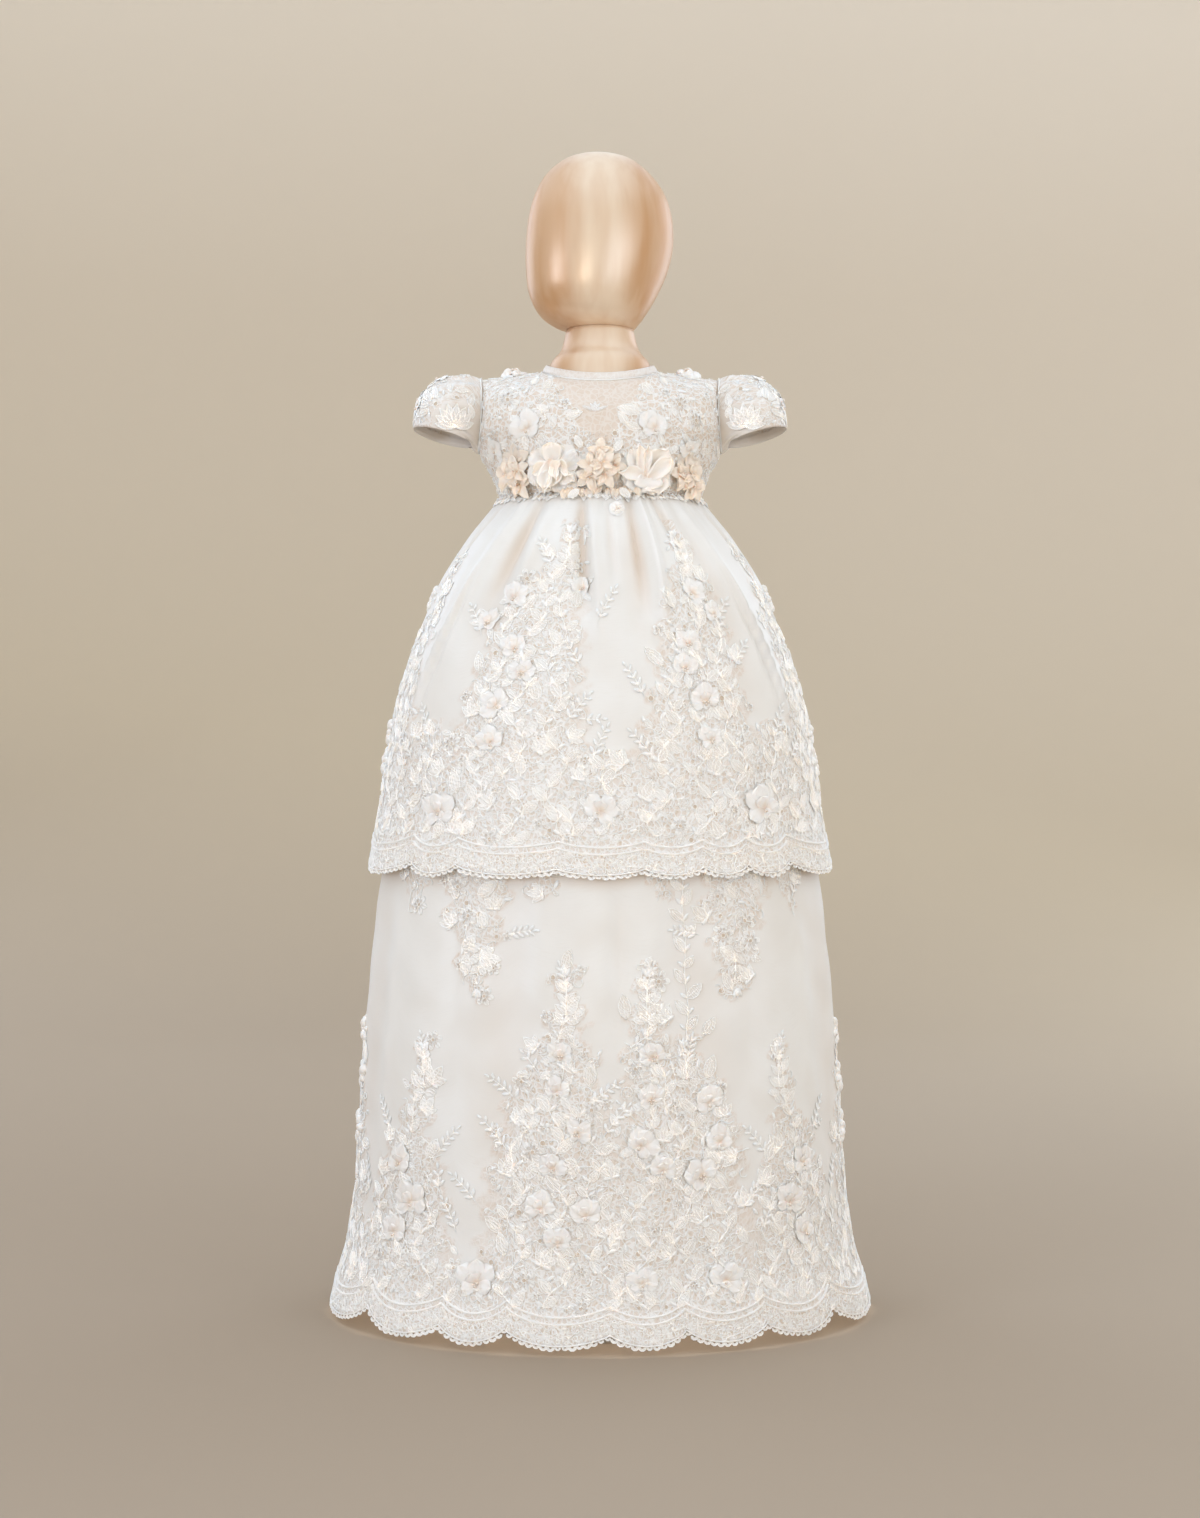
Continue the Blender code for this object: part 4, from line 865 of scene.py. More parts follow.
lowerTier = {
    "name": "lower",
    "heights": (
        0.6945, 0.6560, 0.6000, 0.5200, 0.4400, 0.3830, 0.3163,
        0.2647, 0.1959, 0.1271, 0.0900, 0.0583, 0.0239, 0.0060,
    ),
    "halfWidths": (
        0.0816, 0.1050, 0.1330, 0.1590, 0.1740, 0.1860, 0.1945,
        0.1995, 0.2035, 0.2080, 0.2115, 0.2170, 0.2270, 0.2310,
    ),
    "halfDepths": (
        0.0606, 0.0810, 0.0990, 0.1150, 0.1260, 0.1335, 0.1380,
        0.1410, 0.1440, 0.1465, 0.1480, 0.1505, 0.1550, 0.1570,
    ),
    "notches": (
        (-90, 0.0150), (-57, 0.0235), (-34.5, 0.0185), (-19.5, 0.0195), (2, 0.0165), (17.5, 0.0190),
        (36, 0.0185), (57, 0.0235), (90, 0.0150),
    ),
    "lobeBottom": 0.0072,
    "gather": 0.0,
    "gatherFade": 0.060,
    "folds": (
        (-70, -74, 8, -0.0030, 0.420, 0.020), (-46, -48, 8, 0.0025, 0.420, 0.060),
        (-22, -24, 7, -0.0025, 0.420, 0.030), (-4, -3, 7, 0.0020, 0.420, 0.120),
        (22, 24, 7, -0.0025, 0.420, 0.030), (44, 47, 8, 0.0025, 0.420, 0.060),
        (70, 74, 8, -0.0030, 0.420, 0.020),
    ),
    "creases": (
        (-60, -62, 3.0, 0.0012, 0.390, 0.120), (-38, -36, 2.5, -0.0010, 0.390, 0.240),
        (-14, -15, 3.0, 0.0012, 0.390, 0.260), (5, 4, 2.5, -0.0012, 0.390, 0.220),
        (15, 13, 2.5, 0.0010, 0.390, 0.290), (36, 38, 3.0, -0.0012, 0.390, 0.200),
        (58, 60, 3.0, 0.0012, 0.390, 0.120),
    ),
    "sprays": (
        ((-34, 0.395, 10), (-32, 0.355, 8), (-31, 0.325, 5), (-30.5, 0.300, 4), (-29.5, 0.279, 1.5)),
        ((37, 0.395, 10), (35, 0.355, 8), (34, 0.325, 5), (33.5, 0.300, 4), (33.7, 0.279, 1.5)),
        ((-14.5, 0.395, 4), (-15, 0.362, 2)), ((16, 0.395, 4), (16.5, 0.362, 2)),
        ((-53, 0.395, 5), (-53.5, 0.352, 2)), ((56, 0.395, 5), (56, 0.352, 2)),
        (
            (-7.6, 0.305, 1.5), (-8, 0.270, 3.2), (-9, 0.235, 6), (-10, 0.200, 10), (-10, 0.150, 14),
            (-9, 0.090, 15), (-9, 0.008, 18),
        ),
        (
            (10.7, 0.305, 1.5), (11, 0.270, 3.2), (12, 0.235, 6), (16, 0.200, 9), (18, 0.150, 13),
            (18, 0.100, 15), (19, 0.008, 18),
        ),
        ((20.6, 0.247, 1.8), (22, 0.220, 4), (24, 0.190, 6), (26, 0.150, 8)),
        (
            (-44, 0.243, 1.2), (-46, 0.200, 2.5), (-49, 0.165, 6), (-50, 0.130, 11), (-51, 0.080, 14),
            (-52, 0.008, 20),
        ),
        (
            (45, 0.243, 1.2), (47, 0.200, 2.5), (50, 0.165, 6), (50, 0.130, 11), (51, 0.080, 14),
            (52, 0.008, 20),
        ),
        ((-86, 0.245, 2.5), (-85, 0.170, 7), (-82, 0.100, 10), (-80, 0.008, 14)),
        ((86, 0.245, 2.5), (85, 0.170, 7), (82, 0.100, 10), (80, 0.008, 14)),
        ((-32, 0.062, 8), (-31, 0.008, 16)), ((36, 0.062, 8), (36, 0.008, 16)),
        ((-68, 0.080, 6), (-68, 0.008, 14)), ((68, 0.080, 6), (68, 0.008, 14)),
        ((5, 0.070, 6), (5, 0.008, 14)),
    ),
    "flowers": (
        (-9, 0.236, 0.014, 0.0045), (-9.5, 0.208, 0.015, 0.0060), (-5, 0.175, 0.015, 0.0068),
        (-10.5, 0.147, 0.016, 0.0068), (-13, 0.115, 0.017, 0.0075), (-3, 0.110, 0.015, 0.0060),
        (-9, 0.088, 0.015, 0.0060), (12, 0.235, 0.014, 0.0045), (11.5, 0.201, 0.015, 0.0060),
        (25.5, 0.197, 0.015, 0.0060), (9, 0.165, 0.015, 0.0068), (28, 0.165, 0.016, 0.0068),
        (14, 0.145, 0.015, 0.0060), (23, 0.139, 0.015, 0.0060), (-52, 0.142, 0.018, 0.0068),
        (-47, 0.112, 0.020, 0.0075), (-52, 0.086, 0.016, 0.0060), (53, 0.142, 0.018, 0.0068),
        (47, 0.112, 0.020, 0.0075), (52, 0.086, 0.016, 0.0060), (-27, 0.054, 0.018, 0.0060),
        (27.5, 0.056, 0.018, 0.0060), (9, 0.057, 0.015, 0.0045),
    ),
    "sideFlowers": ((0.241, 0.014), (0.203, 0.016), (0.158, 0.017)),
    "branches": (
        (-21, 0.158, 35, 0.030), (0.5, 0.170, -30, 0.028), (-2.5, 0.196, -45, 0.026),
        (-19.6, 0.200, 45, 0.024), (-40, 0.150, -30, 0.026), (-57, 0.165, 25, 0.026),
        (41, 0.150, 30, 0.026), (58, 0.165, -25, 0.026), (-7.6, 0.282, 5, 0.022), (10.7, 0.282, -5, 0.022),
        (20.6, 0.226, 0, 0.020), (-44, 0.222, 5, 0.022), (45, 0.222, -5, 0.022), (33, 0.110, -40, 0.028),
        (-28, 0.115, 40, 0.028), (-33, 0.090, 20, 0.026), (38, 0.090, -20, 0.026), (1, 0.075, -20, 0.024),
        (-23, 0.330, -70, 0.020), (25, 0.330, 70, 0.020), (-67, 0.110, 15, 0.026), (67, 0.110, -15, 0.026),
    ),
    "tips": (
        (-7.6, 0.262, 2, 0.045), (10.7, 0.262, -2, 0.045), (20.6, 0.212, 6, 0.036), (-44, 0.200, 2, 0.043),
        (45, 0.200, -2, 0.043), (-29.8, 0.320, 178, 0.041), (33.6, 0.320, -178, 0.041),
        (-86, 0.212, 0, 0.034), (86, 0.212, 0, 0.034),
    ),
    "waistEdge": (),
    "clothRows": 112,
    "topRows": 12,
    "leafGap": 0.0088,
    "seed": 23,
}

panelColumnsPerLobe = 30
hemTurnUp = 0.012
hemThickness = 0.0008
hiddenShare = 0.42
# painted shade: the fold depth at which a crease is fully shaded, and how far the painted shade reaches
# down from the waist seam and down from the upper tier's hem
valleyDepth = 0.0095
seamShade = 0.0090
hemShade = 0.0140
# cloth that hangs a little slack, and stands off under lace
slackDepth = 0.0005
laceThickness = 0.0005
# how far dense lace runs past a spray's half width, and how sharply it ends
sprayReach = 1.25
sprayEdge = 2.5
# height of the dense lace over the hem, and of its fading edge
bandLace = 0.030
bandFade = 0.006
# height over the edge and radius of the cord along it, then of the cords above the eyelets
edgeCord = (0.0008, 0.0007)
bandCords = (0.0172, 0.0226)
bandCordRadius = 0.0016
bandCordLift = -0.0008
eyeletBand = (0.0030, 0.0160)
eyeletGap = 0.0046
eyeletRadii = (0.0012, 0.0016, 0.0020)
picotGap = 0.0058
picotDrop = 0.0032
# how far most stamped shapes lie off the cloth
laceLift = 0.0003
bigGap = 0.0165
beadGap = 0.0060
# height over the hem where the motifs begin, and the angle of the side flowers
bandHeight = 0.026
sideAngle = 86
# room round a flower as a share of its radius, and the petals of a side flower
flowerRoom = 0.62
puffPetals = 9
threadGap = 0.0088


def fromFront(s):
    # the back repeats the front's plan: s runs from -90 to 90 over the front and on to 270 over the back
    return np.where(s > 90, 180 - s, s)


def hemHeight(tier, s):
    b = np.clip(fromFront(np.asarray(s, float)), -90, 90)
    angles, heights = np.array(tier["notches"]).T
    k = np.clip(np.searchsorted(angles, b, side="right"), 1, len(angles) - 1)
    share = (b - angles[k - 1]) / (angles[k] - angles[k - 1])
    notch = heights[k - 1] + (heights[k] - heights[k - 1]) * share
    return notch - (notch - tier["lobeBottom"]) * np.sin(math.pi * np.clip(share, 0, 1)) ** 0.7


def foldRise(folds, b, z):
    rise = np.zeros(np.broadcast(b, z).shape)
    for topAngle, lowAngle, width, depth, top, low in folds:
        share = np.clip((top - z) / (top - low), 0, 1)
        ridge = topAngle + (lowAngle - topAngle) * share
        rise = rise + depth * np.sin(math.pi * share) * np.exp(-(((b - ridge) / width) ** 2))
    return rise


def laceShare(tier, s, z):
    # 1 where the lace is dense, 0 on plain satin, with an uneven edge between
    b = fromFront(s)
    sway = 1.6 * np.sin(z * 210 + b * 0.35) + 1.1 * np.sin(z * 395 - b * 0.8 + 1)
    share = np.zeros(np.broadcast(b, z).shape)
    for spray in tier["sprays"]:
        angle, height, half = np.array(spray)[::-1].T
        centre, reach = np.interp(z, height, angle), np.interp(z, height, half)
        within = (z >= height[0] - 0.002) & (z <= height[-1] + 0.004)
        inside = (sprayReach - np.abs(b + sway - centre) / reach) * sprayEdge
        share = np.maximum(share, within * np.clip(inside, 0, 1))
    band = np.clip((hemHeight(tier, s) + bandLace - z) / bandFade, 0, 1)
    return np.clip(np.maximum(share, band), 0, 1)


def tierPoints(tier, s, z):
    b = fromFront(s)
    halfWidth = smoothRead(tier["heights"], tier["halfWidths"], z)
    halfDepth = smoothRead(tier["heights"], tier["halfDepths"], z)
    fade = np.clip(1 - (tier["heights"][0] - z) / tier["gatherFade"], 0, 1)
    uneven = b / 7.6 + 0.55 * np.sin(b / 13.0) + 0.3 * np.sin(b / 5.1 + 1)
    waves = 0.75 * np.cos(2 * math.pi * uneven) + 0.25 * np.cos(5.3 * math.pi * uneven)
    out = tier["gather"] * fade * waves
    out = out + foldRise(tier["folds"], b, z) + foldRise(tier["creases"], b, z)
    slope = np.clip((tier["heights"][0] - z) / 0.2, 0, 1)
    out = out + slackDepth * slope * np.sin(z * 95 + 2 * np.sin(b / 9)) * np.sin(b / 6.5 + z * 22)
    out = out + laceThickness * laceShare(tier, s, z)
    turn = np.radians(s)
    x, y = np.sin(turn) / halfWidth, -np.cos(turn) / halfDepth
    length = np.hypot(x, y)
    return np.stack([
        halfWidth * np.sin(turn) + x / length * out, -halfDepth * np.cos(turn) + y / length * out,
        np.broadcast_to(z, np.broadcast(s, z).shape),
    ], axis=-1)


def tierSurface(tier):
    s = np.linspace(-96, 276, 497)
    t = np.linspace(tier["lobeBottom"] - 0.005, tier["heights"][0], 260)
    return Surface(s, t, tierPoints(tier, s[None, :], t[:, None]))


def panelColumns(tier, side):
    angles = [n[0] for n in tier["notches"]]
    lobes = [np.linspace(a, b, panelColumnsPerLobe, endpoint=False) for a, b in zip(angles, angles[1:])]
    columns = np.concatenate([*lobes, [90.0]])
    return columns if side == "front" else (180 - columns)[::-1]


def underHemShadow(s, z):
    # painted shadow of the upper tier's hem: 1 on the cloth that lies behind the upper tier's hem, fading
    # out below it
    return 1 + (z - hemHeight(upperTier, s)) / hemShade


def makePanel(tier, side, surface):
    s = panelColumns(tier, side)
    top, hem = tier["heights"][0], hemHeight(tier, s)
    if tier["topRows"]:
        # fewer rows where the upper tier hides the cloth
        hidden = np.linspace(0, hiddenShare, tier["topRows"], endpoint=False)
        shares = np.concatenate([hidden, np.linspace(hiddenShare, 1, tier["clothRows"])])
    else:
        shares = np.linspace(0, 1, tier["clothRows"]) ** 0.96
    z = top + (hem[None, :] - top) * shares[:, None]
    grid = np.broadcast_to(s, z.shape)
    # the exact surface, not the sampled one, so that creases stay crisp
    points = tierPoints(tier, grid, z)
    lace = laceShare(tier, grid, z)
    turnUps = [surface.at(s, hem + hemTurnUp * k / 2, -hemThickness) for k in range(3)]
    points = np.concatenate([points, np.array(turnUps)])[::-1]
    lace = np.concatenate([lace, np.zeros((3, len(s)))])[::-1]
    b = fromFront(grid)
    # painted shade: darker down the folds and creases, under the garland at the top of the upper tier, and
    # under the upper tier's hem on the lower tier
    sunk = -foldRise(tier["folds"], b, z) - foldRise(tier["creases"], b, z)
    under = (z - top + seamShade) / seamShade if tier is upperTier else underHemShadow(s, z)
    valley = np.clip(np.maximum(sunk / valleyDepth, under), 0, 1)
    valley = np.concatenate([valley, np.zeros((3, len(s)))])[::-1]
    name = f"{tier['name']}_skirt_{side}"
    obj = clothPiece(name + "_cloth", points, lace, valley=valley)
    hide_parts(name)
    return obj


def scatter(rng, surface, across, upward, gap, share, taken=(), least=0.45, tries=9000):
    # places on dense lace, no nearer to each other than the gap and clear of what is taken
    draws = np.array([(rng.uniform(*across), rng.uniform(*upward)) for _ in range(tries)])
    draws = draws[share(draws[:, 0], draws[:, 1]) > least]
    places = surface.at(draws[:, 0], draws[:, 1])
    kept = np.array(taken, float).reshape(-1, 4)
    found = []
    for spot, place in zip(draws, places):
        if (np.linalg.norm(kept[:, :3] - place, axis=1) >= kept[:, 3] + gap / 2).all():
            found.append(tuple(spot))
            kept = np.vstack([kept, (*place, gap / 2)])
    return found


def walkedAlong(points):
    return np.concatenate([[0], np.cumsum(np.linalg.norm(np.diff(points, axis=0), axis=1))])


def evenly(surface, s, t, gap):
    # even steps along a path on the cloth
    walked = walkedAlong(surface.at(s, t))
    steps = (np.arange(int(walked[-1] / gap)) + 0.5) * walked[-1] / int(walked[-1] / gap)
    return np.interp(steps, walked, s), np.interp(steps, walked, t)


def spots(s, t, turn=0.0, size=1.0, lift=0.0):
    return np.column_stack([s, t, *(np.broadcast_to(v, np.shape(s)) for v in (turn, size, lift))])


def layBand(trim, rng, tier, surface, s, edge):
    # the lace band of a scalloped hem: cords, eyelets, small stitches, stray threads, picots on the edge
    trim.cord(surface, s, edge + edgeCord[0], edgeCord[1])
    for place in bandCords:
        trim.cord(surface, s, edge + place, bandCordRadius, bandCordLift)
    low, high = eyeletBand
    across, upward = (s[0] + 0.5, s[-1] - 0.5), (tier["lobeBottom"] + low, edge.max() + high)

    def inBand(at, z):
        rise = z - hemHeight(tier, at)
        return ((rise > low) & (rise < high)).astype(float)

    eyelets = scatter(rng, surface, across, upward, eyeletGap, inBand)
    for k, radius in enumerate(eyeletRadii):
        places = spots(*np.array(eyelets[k :: len(eyeletRadii)]).T)
        trim.stamp(surface, ringShapes(radius, 0.00045, False), places)
    stitches = scatter(rng, surface, across, upward, eyeletGap * 0.62, inBand, tries=6000)
    trim.stamp(surface, [(studShape(0.0007), 0)], spots(*np.array(stitches).T, lift=0.0002))
    strays = scatter(rng, surface, across, upward, eyeletGap * 1.3, inBand, tries=5000)
    layMotifs(trim, rng, surface, strays, threadMotifs[:2], 3.0)
    arc = np.linspace(math.pi, 2 * math.pi, 6)
    picot = np.column_stack([np.cos(arc) * picotGap / 2, np.sin(arc) * picotDrop + 0.0004])
    fill = gridShape([np.column_stack([picot * k, np.zeros(6)]) for k in (1.0, 0.35)])
    at, t = evenly(surface, s, edge, picotGap)
    sizes = np.array([rng.uniform(0.8, 1.25) for _ in at])
    trim.stamp(surface, [(tube(picot, 0.0005), 0), (fill, 1)], spots(at, t, 0.0, sizes))


def layMotifs(trim, rng, surface, found, kinds, lean):
    # motifs at the places found: kinds holds the share, the spread of sizes and the shapes of each kind
    groups = [[] for _ in kinds]
    for s, t in found:
        k = rng.choices(range(len(kinds)), [share for share, _, _ in kinds])[0]
        turn = math.pi / 2 + rng.gauss(0, lean)
        groups[k].append((s, t, turn, rng.uniform(1 - kinds[k][1], 1 + kinds[k][1]), laceLift))
    for (_, _, shapes), places in zip(kinds, groups):
        trim.stamp(surface, shapes, places)


bigMotifs = (
    (34, 0.12, trefoilShapes()),
    (26, 0.12, cordedLeafShapes()),
    (16, 0.12, loopFlowerShapes(6, 0.0088)),
    (14, 0.10, scrollShapes(0.0095) + turnedAll(budShapes(), 0.6, (0.006, 0.004, 0))),
    (10, 0.10, branchShapes(0.020, 2, 0.1)),
)
smallMotifs = (
    (24, 0.2, leafShapes(0.0100, 0.0050)),
    (18, 0.2, budShapes()),
    (22, 0.2, scrollShapes(0.0058)),
    (14, 0.2, ringShapes(0.0021)),
    (12, 0.2, loopFlowerShapes(5, 0.0050)),
    (10, 0.2, curlShapes()),
)
# curl and length of each stray thread
threads = ((0.5, 0.016), (-0.5, 0.018), (1.0, 0.021), (-1.0, 0.019), (0.15, 0.018))
threadMotifs = [(1, 0.25, strayThread(*row)) for row in threads]


def layFlower(trim, petals, rng, surface, s, t, radius, rise, kinds=flowerPetals):
    # a chiffon flower with its pearls, and four leaves round its foot; returns the room that it takes
    shapes = flowerShapes(rng, 0.84 * radius, rise * 0.15, rng.choice((1, 1, 2, 3)), kinds)
    petals.stamp(surface, shapes, [(s, t, rng.gauss(0, 0.35), rng.uniform(0.9, 1.15), 0.0005)])
    perS, perT = surface.scales(s, t)
    foot = 0.35 * radius
    for lean in (0.4, 2.2, 3.6, 5.2):
        turn = lean + rng.uniform(-0.5, 0.5)
        at = (s + math.cos(turn) * foot / perS, t + math.sin(turn) * foot / perT)
        trim.stamp(surface, leafShapes(), [(*at, turn, rng.uniform(0.75, 1.1), 0.0004)])
    return (*surface.at(s, t), radius * flowerRoom)


def layPuffs(petals, rng, surface, s, t, radius):
    # a side bloom: plump small petals close together on the cloth
    ball, perS = beadShape(1.0, 2), surface.scales(s, t)[0]
    for k in range(puffPetals):
        lean = 2.4 * k + rng.uniform(-0.3, 0.3)
        foot, size = radius * 0.24 * k**0.5, radius * rng.uniform(0.24, 0.38)
        shape = (ball[0] * (size, size * rng.uniform(0.5, 0.8), size * rng.uniform(0.5, 0.8)), ball[1])
        at = (s + math.cos(lean) * foot / perS, t + math.sin(lean) * foot)
        petals.stamp(surface, [(shape, 2)], [(*at, lean, 1.0, 0.0)])
    return (*surface.at(s, t), radius * flowerRoom)


stems = {
    # tracks across a spray as shares of its half width, and the least half width for the outer ones
    "tracks": (0.0, -0.62, 0.62),
    "outerHalf": 8.0,
    "leafStep": 0.0125,
    "leafLength": 0.0150,
    "room": 0.0050,
    # the least height of a stem's foot near the lower hem, and in sprays that end higher than that
    "foot": 0.034,
    "highFoot": 0.408,
    "nearHem": 0.1,
}


def layStems(trim, rng, surface, spray, back, taken):
    # wandering stems up a spray, each with broad corded leaves and buds that spring from it by turns
    angle, height, half = np.array(spray)[::-1].T
    for track in stems["tracks"]:
        reach = height[half > stems["outerHalf"]] if track else height
        if len(reach) < 2 or reach[-1] - reach[0] < 0.03:
            continue
        foot = stems["foot"] if height[0] < stems["nearHem"] else stems["highFoot"]
        z = np.linspace(max(height[0], foot), reach[-1] - 0.004, 60)
        width = np.interp(z, height, half)
        b = np.interp(z, height, angle) + width * (track + 0.16 * np.sin(z * 120 + 3 * track))
        s = 180 - b if back else b
        trim.cord(surface, s, z, 0.0006)
        walked = walkedAlong(surface.at(s, z))
        for k, along in enumerate(np.arange(0.004, walked[-1] - 0.004, stems["leafStep"])):
            at, up = np.interp(along, walked, s), np.interp(along, walked, z)
            place = surface.at(at, up)
            if any(np.linalg.norm(place - spot[:3]) < spot[3] for spot in np.array(taken)):
                continue
            side = 1 if k % 2 else -1
            turn = math.pi / 2 + side * rng.uniform(0.55, 0.95)
            length = stems["leafLength"] * rng.uniform(0.75, 1.15)
            broad = rng.random() < 0.6
            leaf = cordedLeafShapes(length) if broad else leafShapes(length, length * 0.5, 0.0005)
            trim.stamp(surface, leaf, [(at, up, turn, 1.0, laceLift)])
            lean = math.pi / 2 - side * rng.uniform(0.5, 1.0)
            trim.stamp(surface, budShapes(), [(at, up, lean, 1.1, laceLift)])
            perS = surface.scales(at, up)[0]
            middle = (at + math.cos(turn) * length * 0.5 / perS, up + math.sin(turn) * length * 0.5)
            taken.append((*surface.at(*middle), stems["room"]))


def layWaistEdge(trim, rng, tier, surface, ends):
    # leaves, buds and rings that hang from the waist seam over the top of the skirt
    for row, (drop, gap, shapes) in enumerate(tier["waistEdge"]):
        across = np.linspace(ends[0] + 4, ends[1] - 4, 200)
        at, up = evenly(surface, across, np.full(200, tier["heights"][0] - drop), gap)
        turns = np.array([rng.gauss(-math.pi / 2, 0.35) for _ in at])
        sizes = np.array([rng.uniform(0.75, 1.2) for _ in at])
        trim.stamp(surface, shapes, spots(at, up, turns, sizes, 0.0006 + 0.0002 * row))


def buildLace(name, trim, petals):
    # the lace of a panel, and its flowers where it has any
    parts = [(trim, "lace")] + [(petals, "flowers")] * (petals.count > 0)
    return [part.build(f"{name}_{kind}", laceMaterials, "lace_satin") for part, kind in parts]


def layLace(tier, side, surface):
    back = side == "back"
    rng = random.Random(tier["seed"] + back * 100)
    trim, petals = Trim(), Trim()
    ends = (90, 270) if back else (-90, 90)
    s = evenly(surface, np.linspace(*ends, 600), np.full(600, tier["lobeBottom"]), 0.0016)[0]
    s[0], s[-1] = ends
    layBand(trim, rng, tier, surface, s, hemHeight(tier, s))
    layWaistEdge(trim, rng, tier, surface, ends)
    places = [(180 - b if back else b, z, r, h) for b, z, r, h in tier["flowers"]]
    taken = [layFlower(trim, petals, rng, surface, *place) for place in places]
    if not back:
        sides = [(b, *place) for b in (-sideAngle, sideAngle) for place in tier["sideFlowers"]]
        taken += [layPuffs(petals, rng, surface, *place) for place in sides]
    for kind in ("branches", "tips"):
        for b, z, turn, length in tier[kind]:
            at, lean = (180 - b, -turn) if back else (b, turn)
            bend = 0.15 if lean > 0 else -0.15
            shapes = sprigShapes(length) if kind == "tips" else branchShapes(length * 1.12, 4, bend)
            trim.stamp(surface, shapes, [(at, z, math.radians(90 + lean), 1.0, laceLift)])
    for spray in tier["sprays"]:
        layStems(trim, rng, surface, spray, back, taken)
    upward = (tier["lobeBottom"] + bandHeight, tier["sprays"][0][0][1])
    inner = (ends[0] + 1, ends[1] - 1)

    def share(s, z):
        return laceShare(tier, s, z) * (z > hemHeight(tier, s) + bandHeight)

    big = scatter(rng, surface, inner, upward, bigGap, share, taken, 0.7)
    layMotifs(trim, rng, surface, big, bigMotifs, 0.8)
    taken += [(*surface.at(*map(np.array, spot)), bigGap * 0.3) for spot in big]
    found = scatter(rng, surface, inner, upward, tier["leafGap"], share, taken)
    layMotifs(trim, rng, surface, found, smallMotifs, 1.2)
    strays = scatter(rng, surface, inner, upward, threadGap, share, least=0.6)
    layMotifs(trim, rng, surface, strays, threadMotifs, 3.0)
    beads = scatter(rng, surface, inner, upward, beadGap, share, least=0.6)
    trim.stamp(surface, [(studShape(0.0006), 0)], spots(*np.array(beads).T, lift=0.0006))
    name = f"{tier['name']}_{side}"
    pieces = buildLace(name, trim, petals)
    faces = len(pieces[0].data.polygons)
    print(name, "lace:", len(big), "large and", len(found), "small motifs,", faces, "faces")
    return pieces


# the flat cut of half of each tier: width at the hem and length
tierCuts = {"upper": (0.545, 0.350), "lower": (0.625, 0.705)}
skirtPanels = {}
for tier in (upperTier, lowerTier):
    surface = tierSurface(tier)
    for side in ("front", "back"):
        panel = makePanel(tier, side, surface)
        trims = layLace(tier, side, surface)
        flat = tierCuts[tier["name"]]
        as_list(trims)
        skirtPanels[tier["name"], side] = panel
print("skirt tiers made")


bodice = {
    "heights": (0.6948, 0.7140, 0.7350, 0.7500, 0.7665, 0.7800),
    "halfWidths": (0.0862, 0.0925, 0.1035, 0.1010, 0.0992, 0.0990),
    "frontDepths": (0.0650, 0.0670, 0.0685, 0.0675, 0.0650, 0.0585),
    "backDepths": (0.0630, 0.0640, 0.0645, 0.0640, 0.0620, 0.0560),
    "shoulderTip": (0.1000, 0.0, 0.7980),
    "neckAngle": 38,
    "rollDrop": 0.0050,
    "neckRoll": 0.0045,
    "shoulderRoll": 0.0280,
    "armholeMiddle": 0.7665,
    "armholeHalfHeight": 0.0315,
    "armholeHalfDepth": 0.0260,
    "seamGap": 0.0003,
    "columns": 150,
    "rows": 62,
    # half width of the plain yoke down from the neck, in metres
    "plainHeights": (0.7200, 0.7300, 0.7420, 0.7550, 0.7700, 0.7900, 0.8000),
    "plainHalfWidths": (-0.004, -0.001, 0.007, 0.018, 0.026, 0.036, 0.030),
    # soft drag lines: x in millimetres at the top and at the bottom, width, rise, top and bottom
    "folds": (
        (-84, -58, 5, 0.0011, 0.775, 0.712), (84, 60, 5, 0.0011, 0.775, 0.712),
        (-70, -40, 4, -0.0009, 0.765, 0.705), (72, 42, 4, -0.0008, 0.768, 0.705),
        (-20, -12, 5, 0.0006, 0.790, 0.735), (24, 14, 6, 0.0006, 0.792, 0.735),
        (-92, -84, 4, -0.0009, 0.750, 0.700), (92, 82, 4, -0.0009, 0.752, 0.700),
    ),
    # x, z and radius of the flowers with pearls and of the corded flowers
    "pearlFlowers": (
        (-0.0895, 0.734, 0.010), (-0.0615, 0.748, 0.012), (0.0454, 0.748, 0.012), (0.0746, 0.731, 0.008),
    ),
    "flowers": (
        (-0.0770, 0.773, 0.010), (-0.0540, 0.756, 0.009), (0.0660, 0.768, 0.010), (0.0800, 0.755, 0.009),
    ),
    # x, z, direction and length of the broad corded leaves, x, z, direction and size of the curls
    "leaves": (
        (0.0350, 0.7610, 172, 0.0205), (-0.0300, 0.7560, 20, 0.0150), (0.0440, 0.7760, 128, 0.0160),
        (-0.0470, 0.7800, 52, 0.0150), (0.0240, 0.7500, 128, 0.0130), (0.0560, 0.7840, 100, 0.0150),
        (-0.0580, 0.7860, 80, 0.0150), (0.0330, 0.7470, 165, 0.0140), (-0.0420, 0.7620, 150, 0.0130),
    ),
    "curls": ((-0.0440, 0.7700, 20, 0.0085), (-0.0230, 0.7580, 70, 0.0065), (0.0200, 0.7600, 110, 0.0060)),
    # the little fan at the middle of the yoke: foot, then the direction and length of each bud
    "yokeFan": (-0.0045, 0.7620),
    "yokeBuds": ((158, 0.0120), (120, 0.0085), (90, 0.0095), (60, 0.0085), (22, 0.0120)),
    "netShare": 0.36,
    "motifGap": 0.0074,
    # painted shade: height under which the cloth is painted with the garland's shadow, how soon it does so
    # and how strong it is there, then the painted shade over the whole bodice
    "shadeTop": 0.7300,
    "shadeReach": 0.0120,
    "lowShade": 1.5,
    "shade": 1.1,
    "seed": 37,
}

neckEdgeSize = {
    "halfWidth": 0.0495,
    "halfDepth": 0.0470,
    "bulge": 0.0030,
    "side": 0.8035,
    "dip": 0.0086,
    "curve": 0.0056,
}


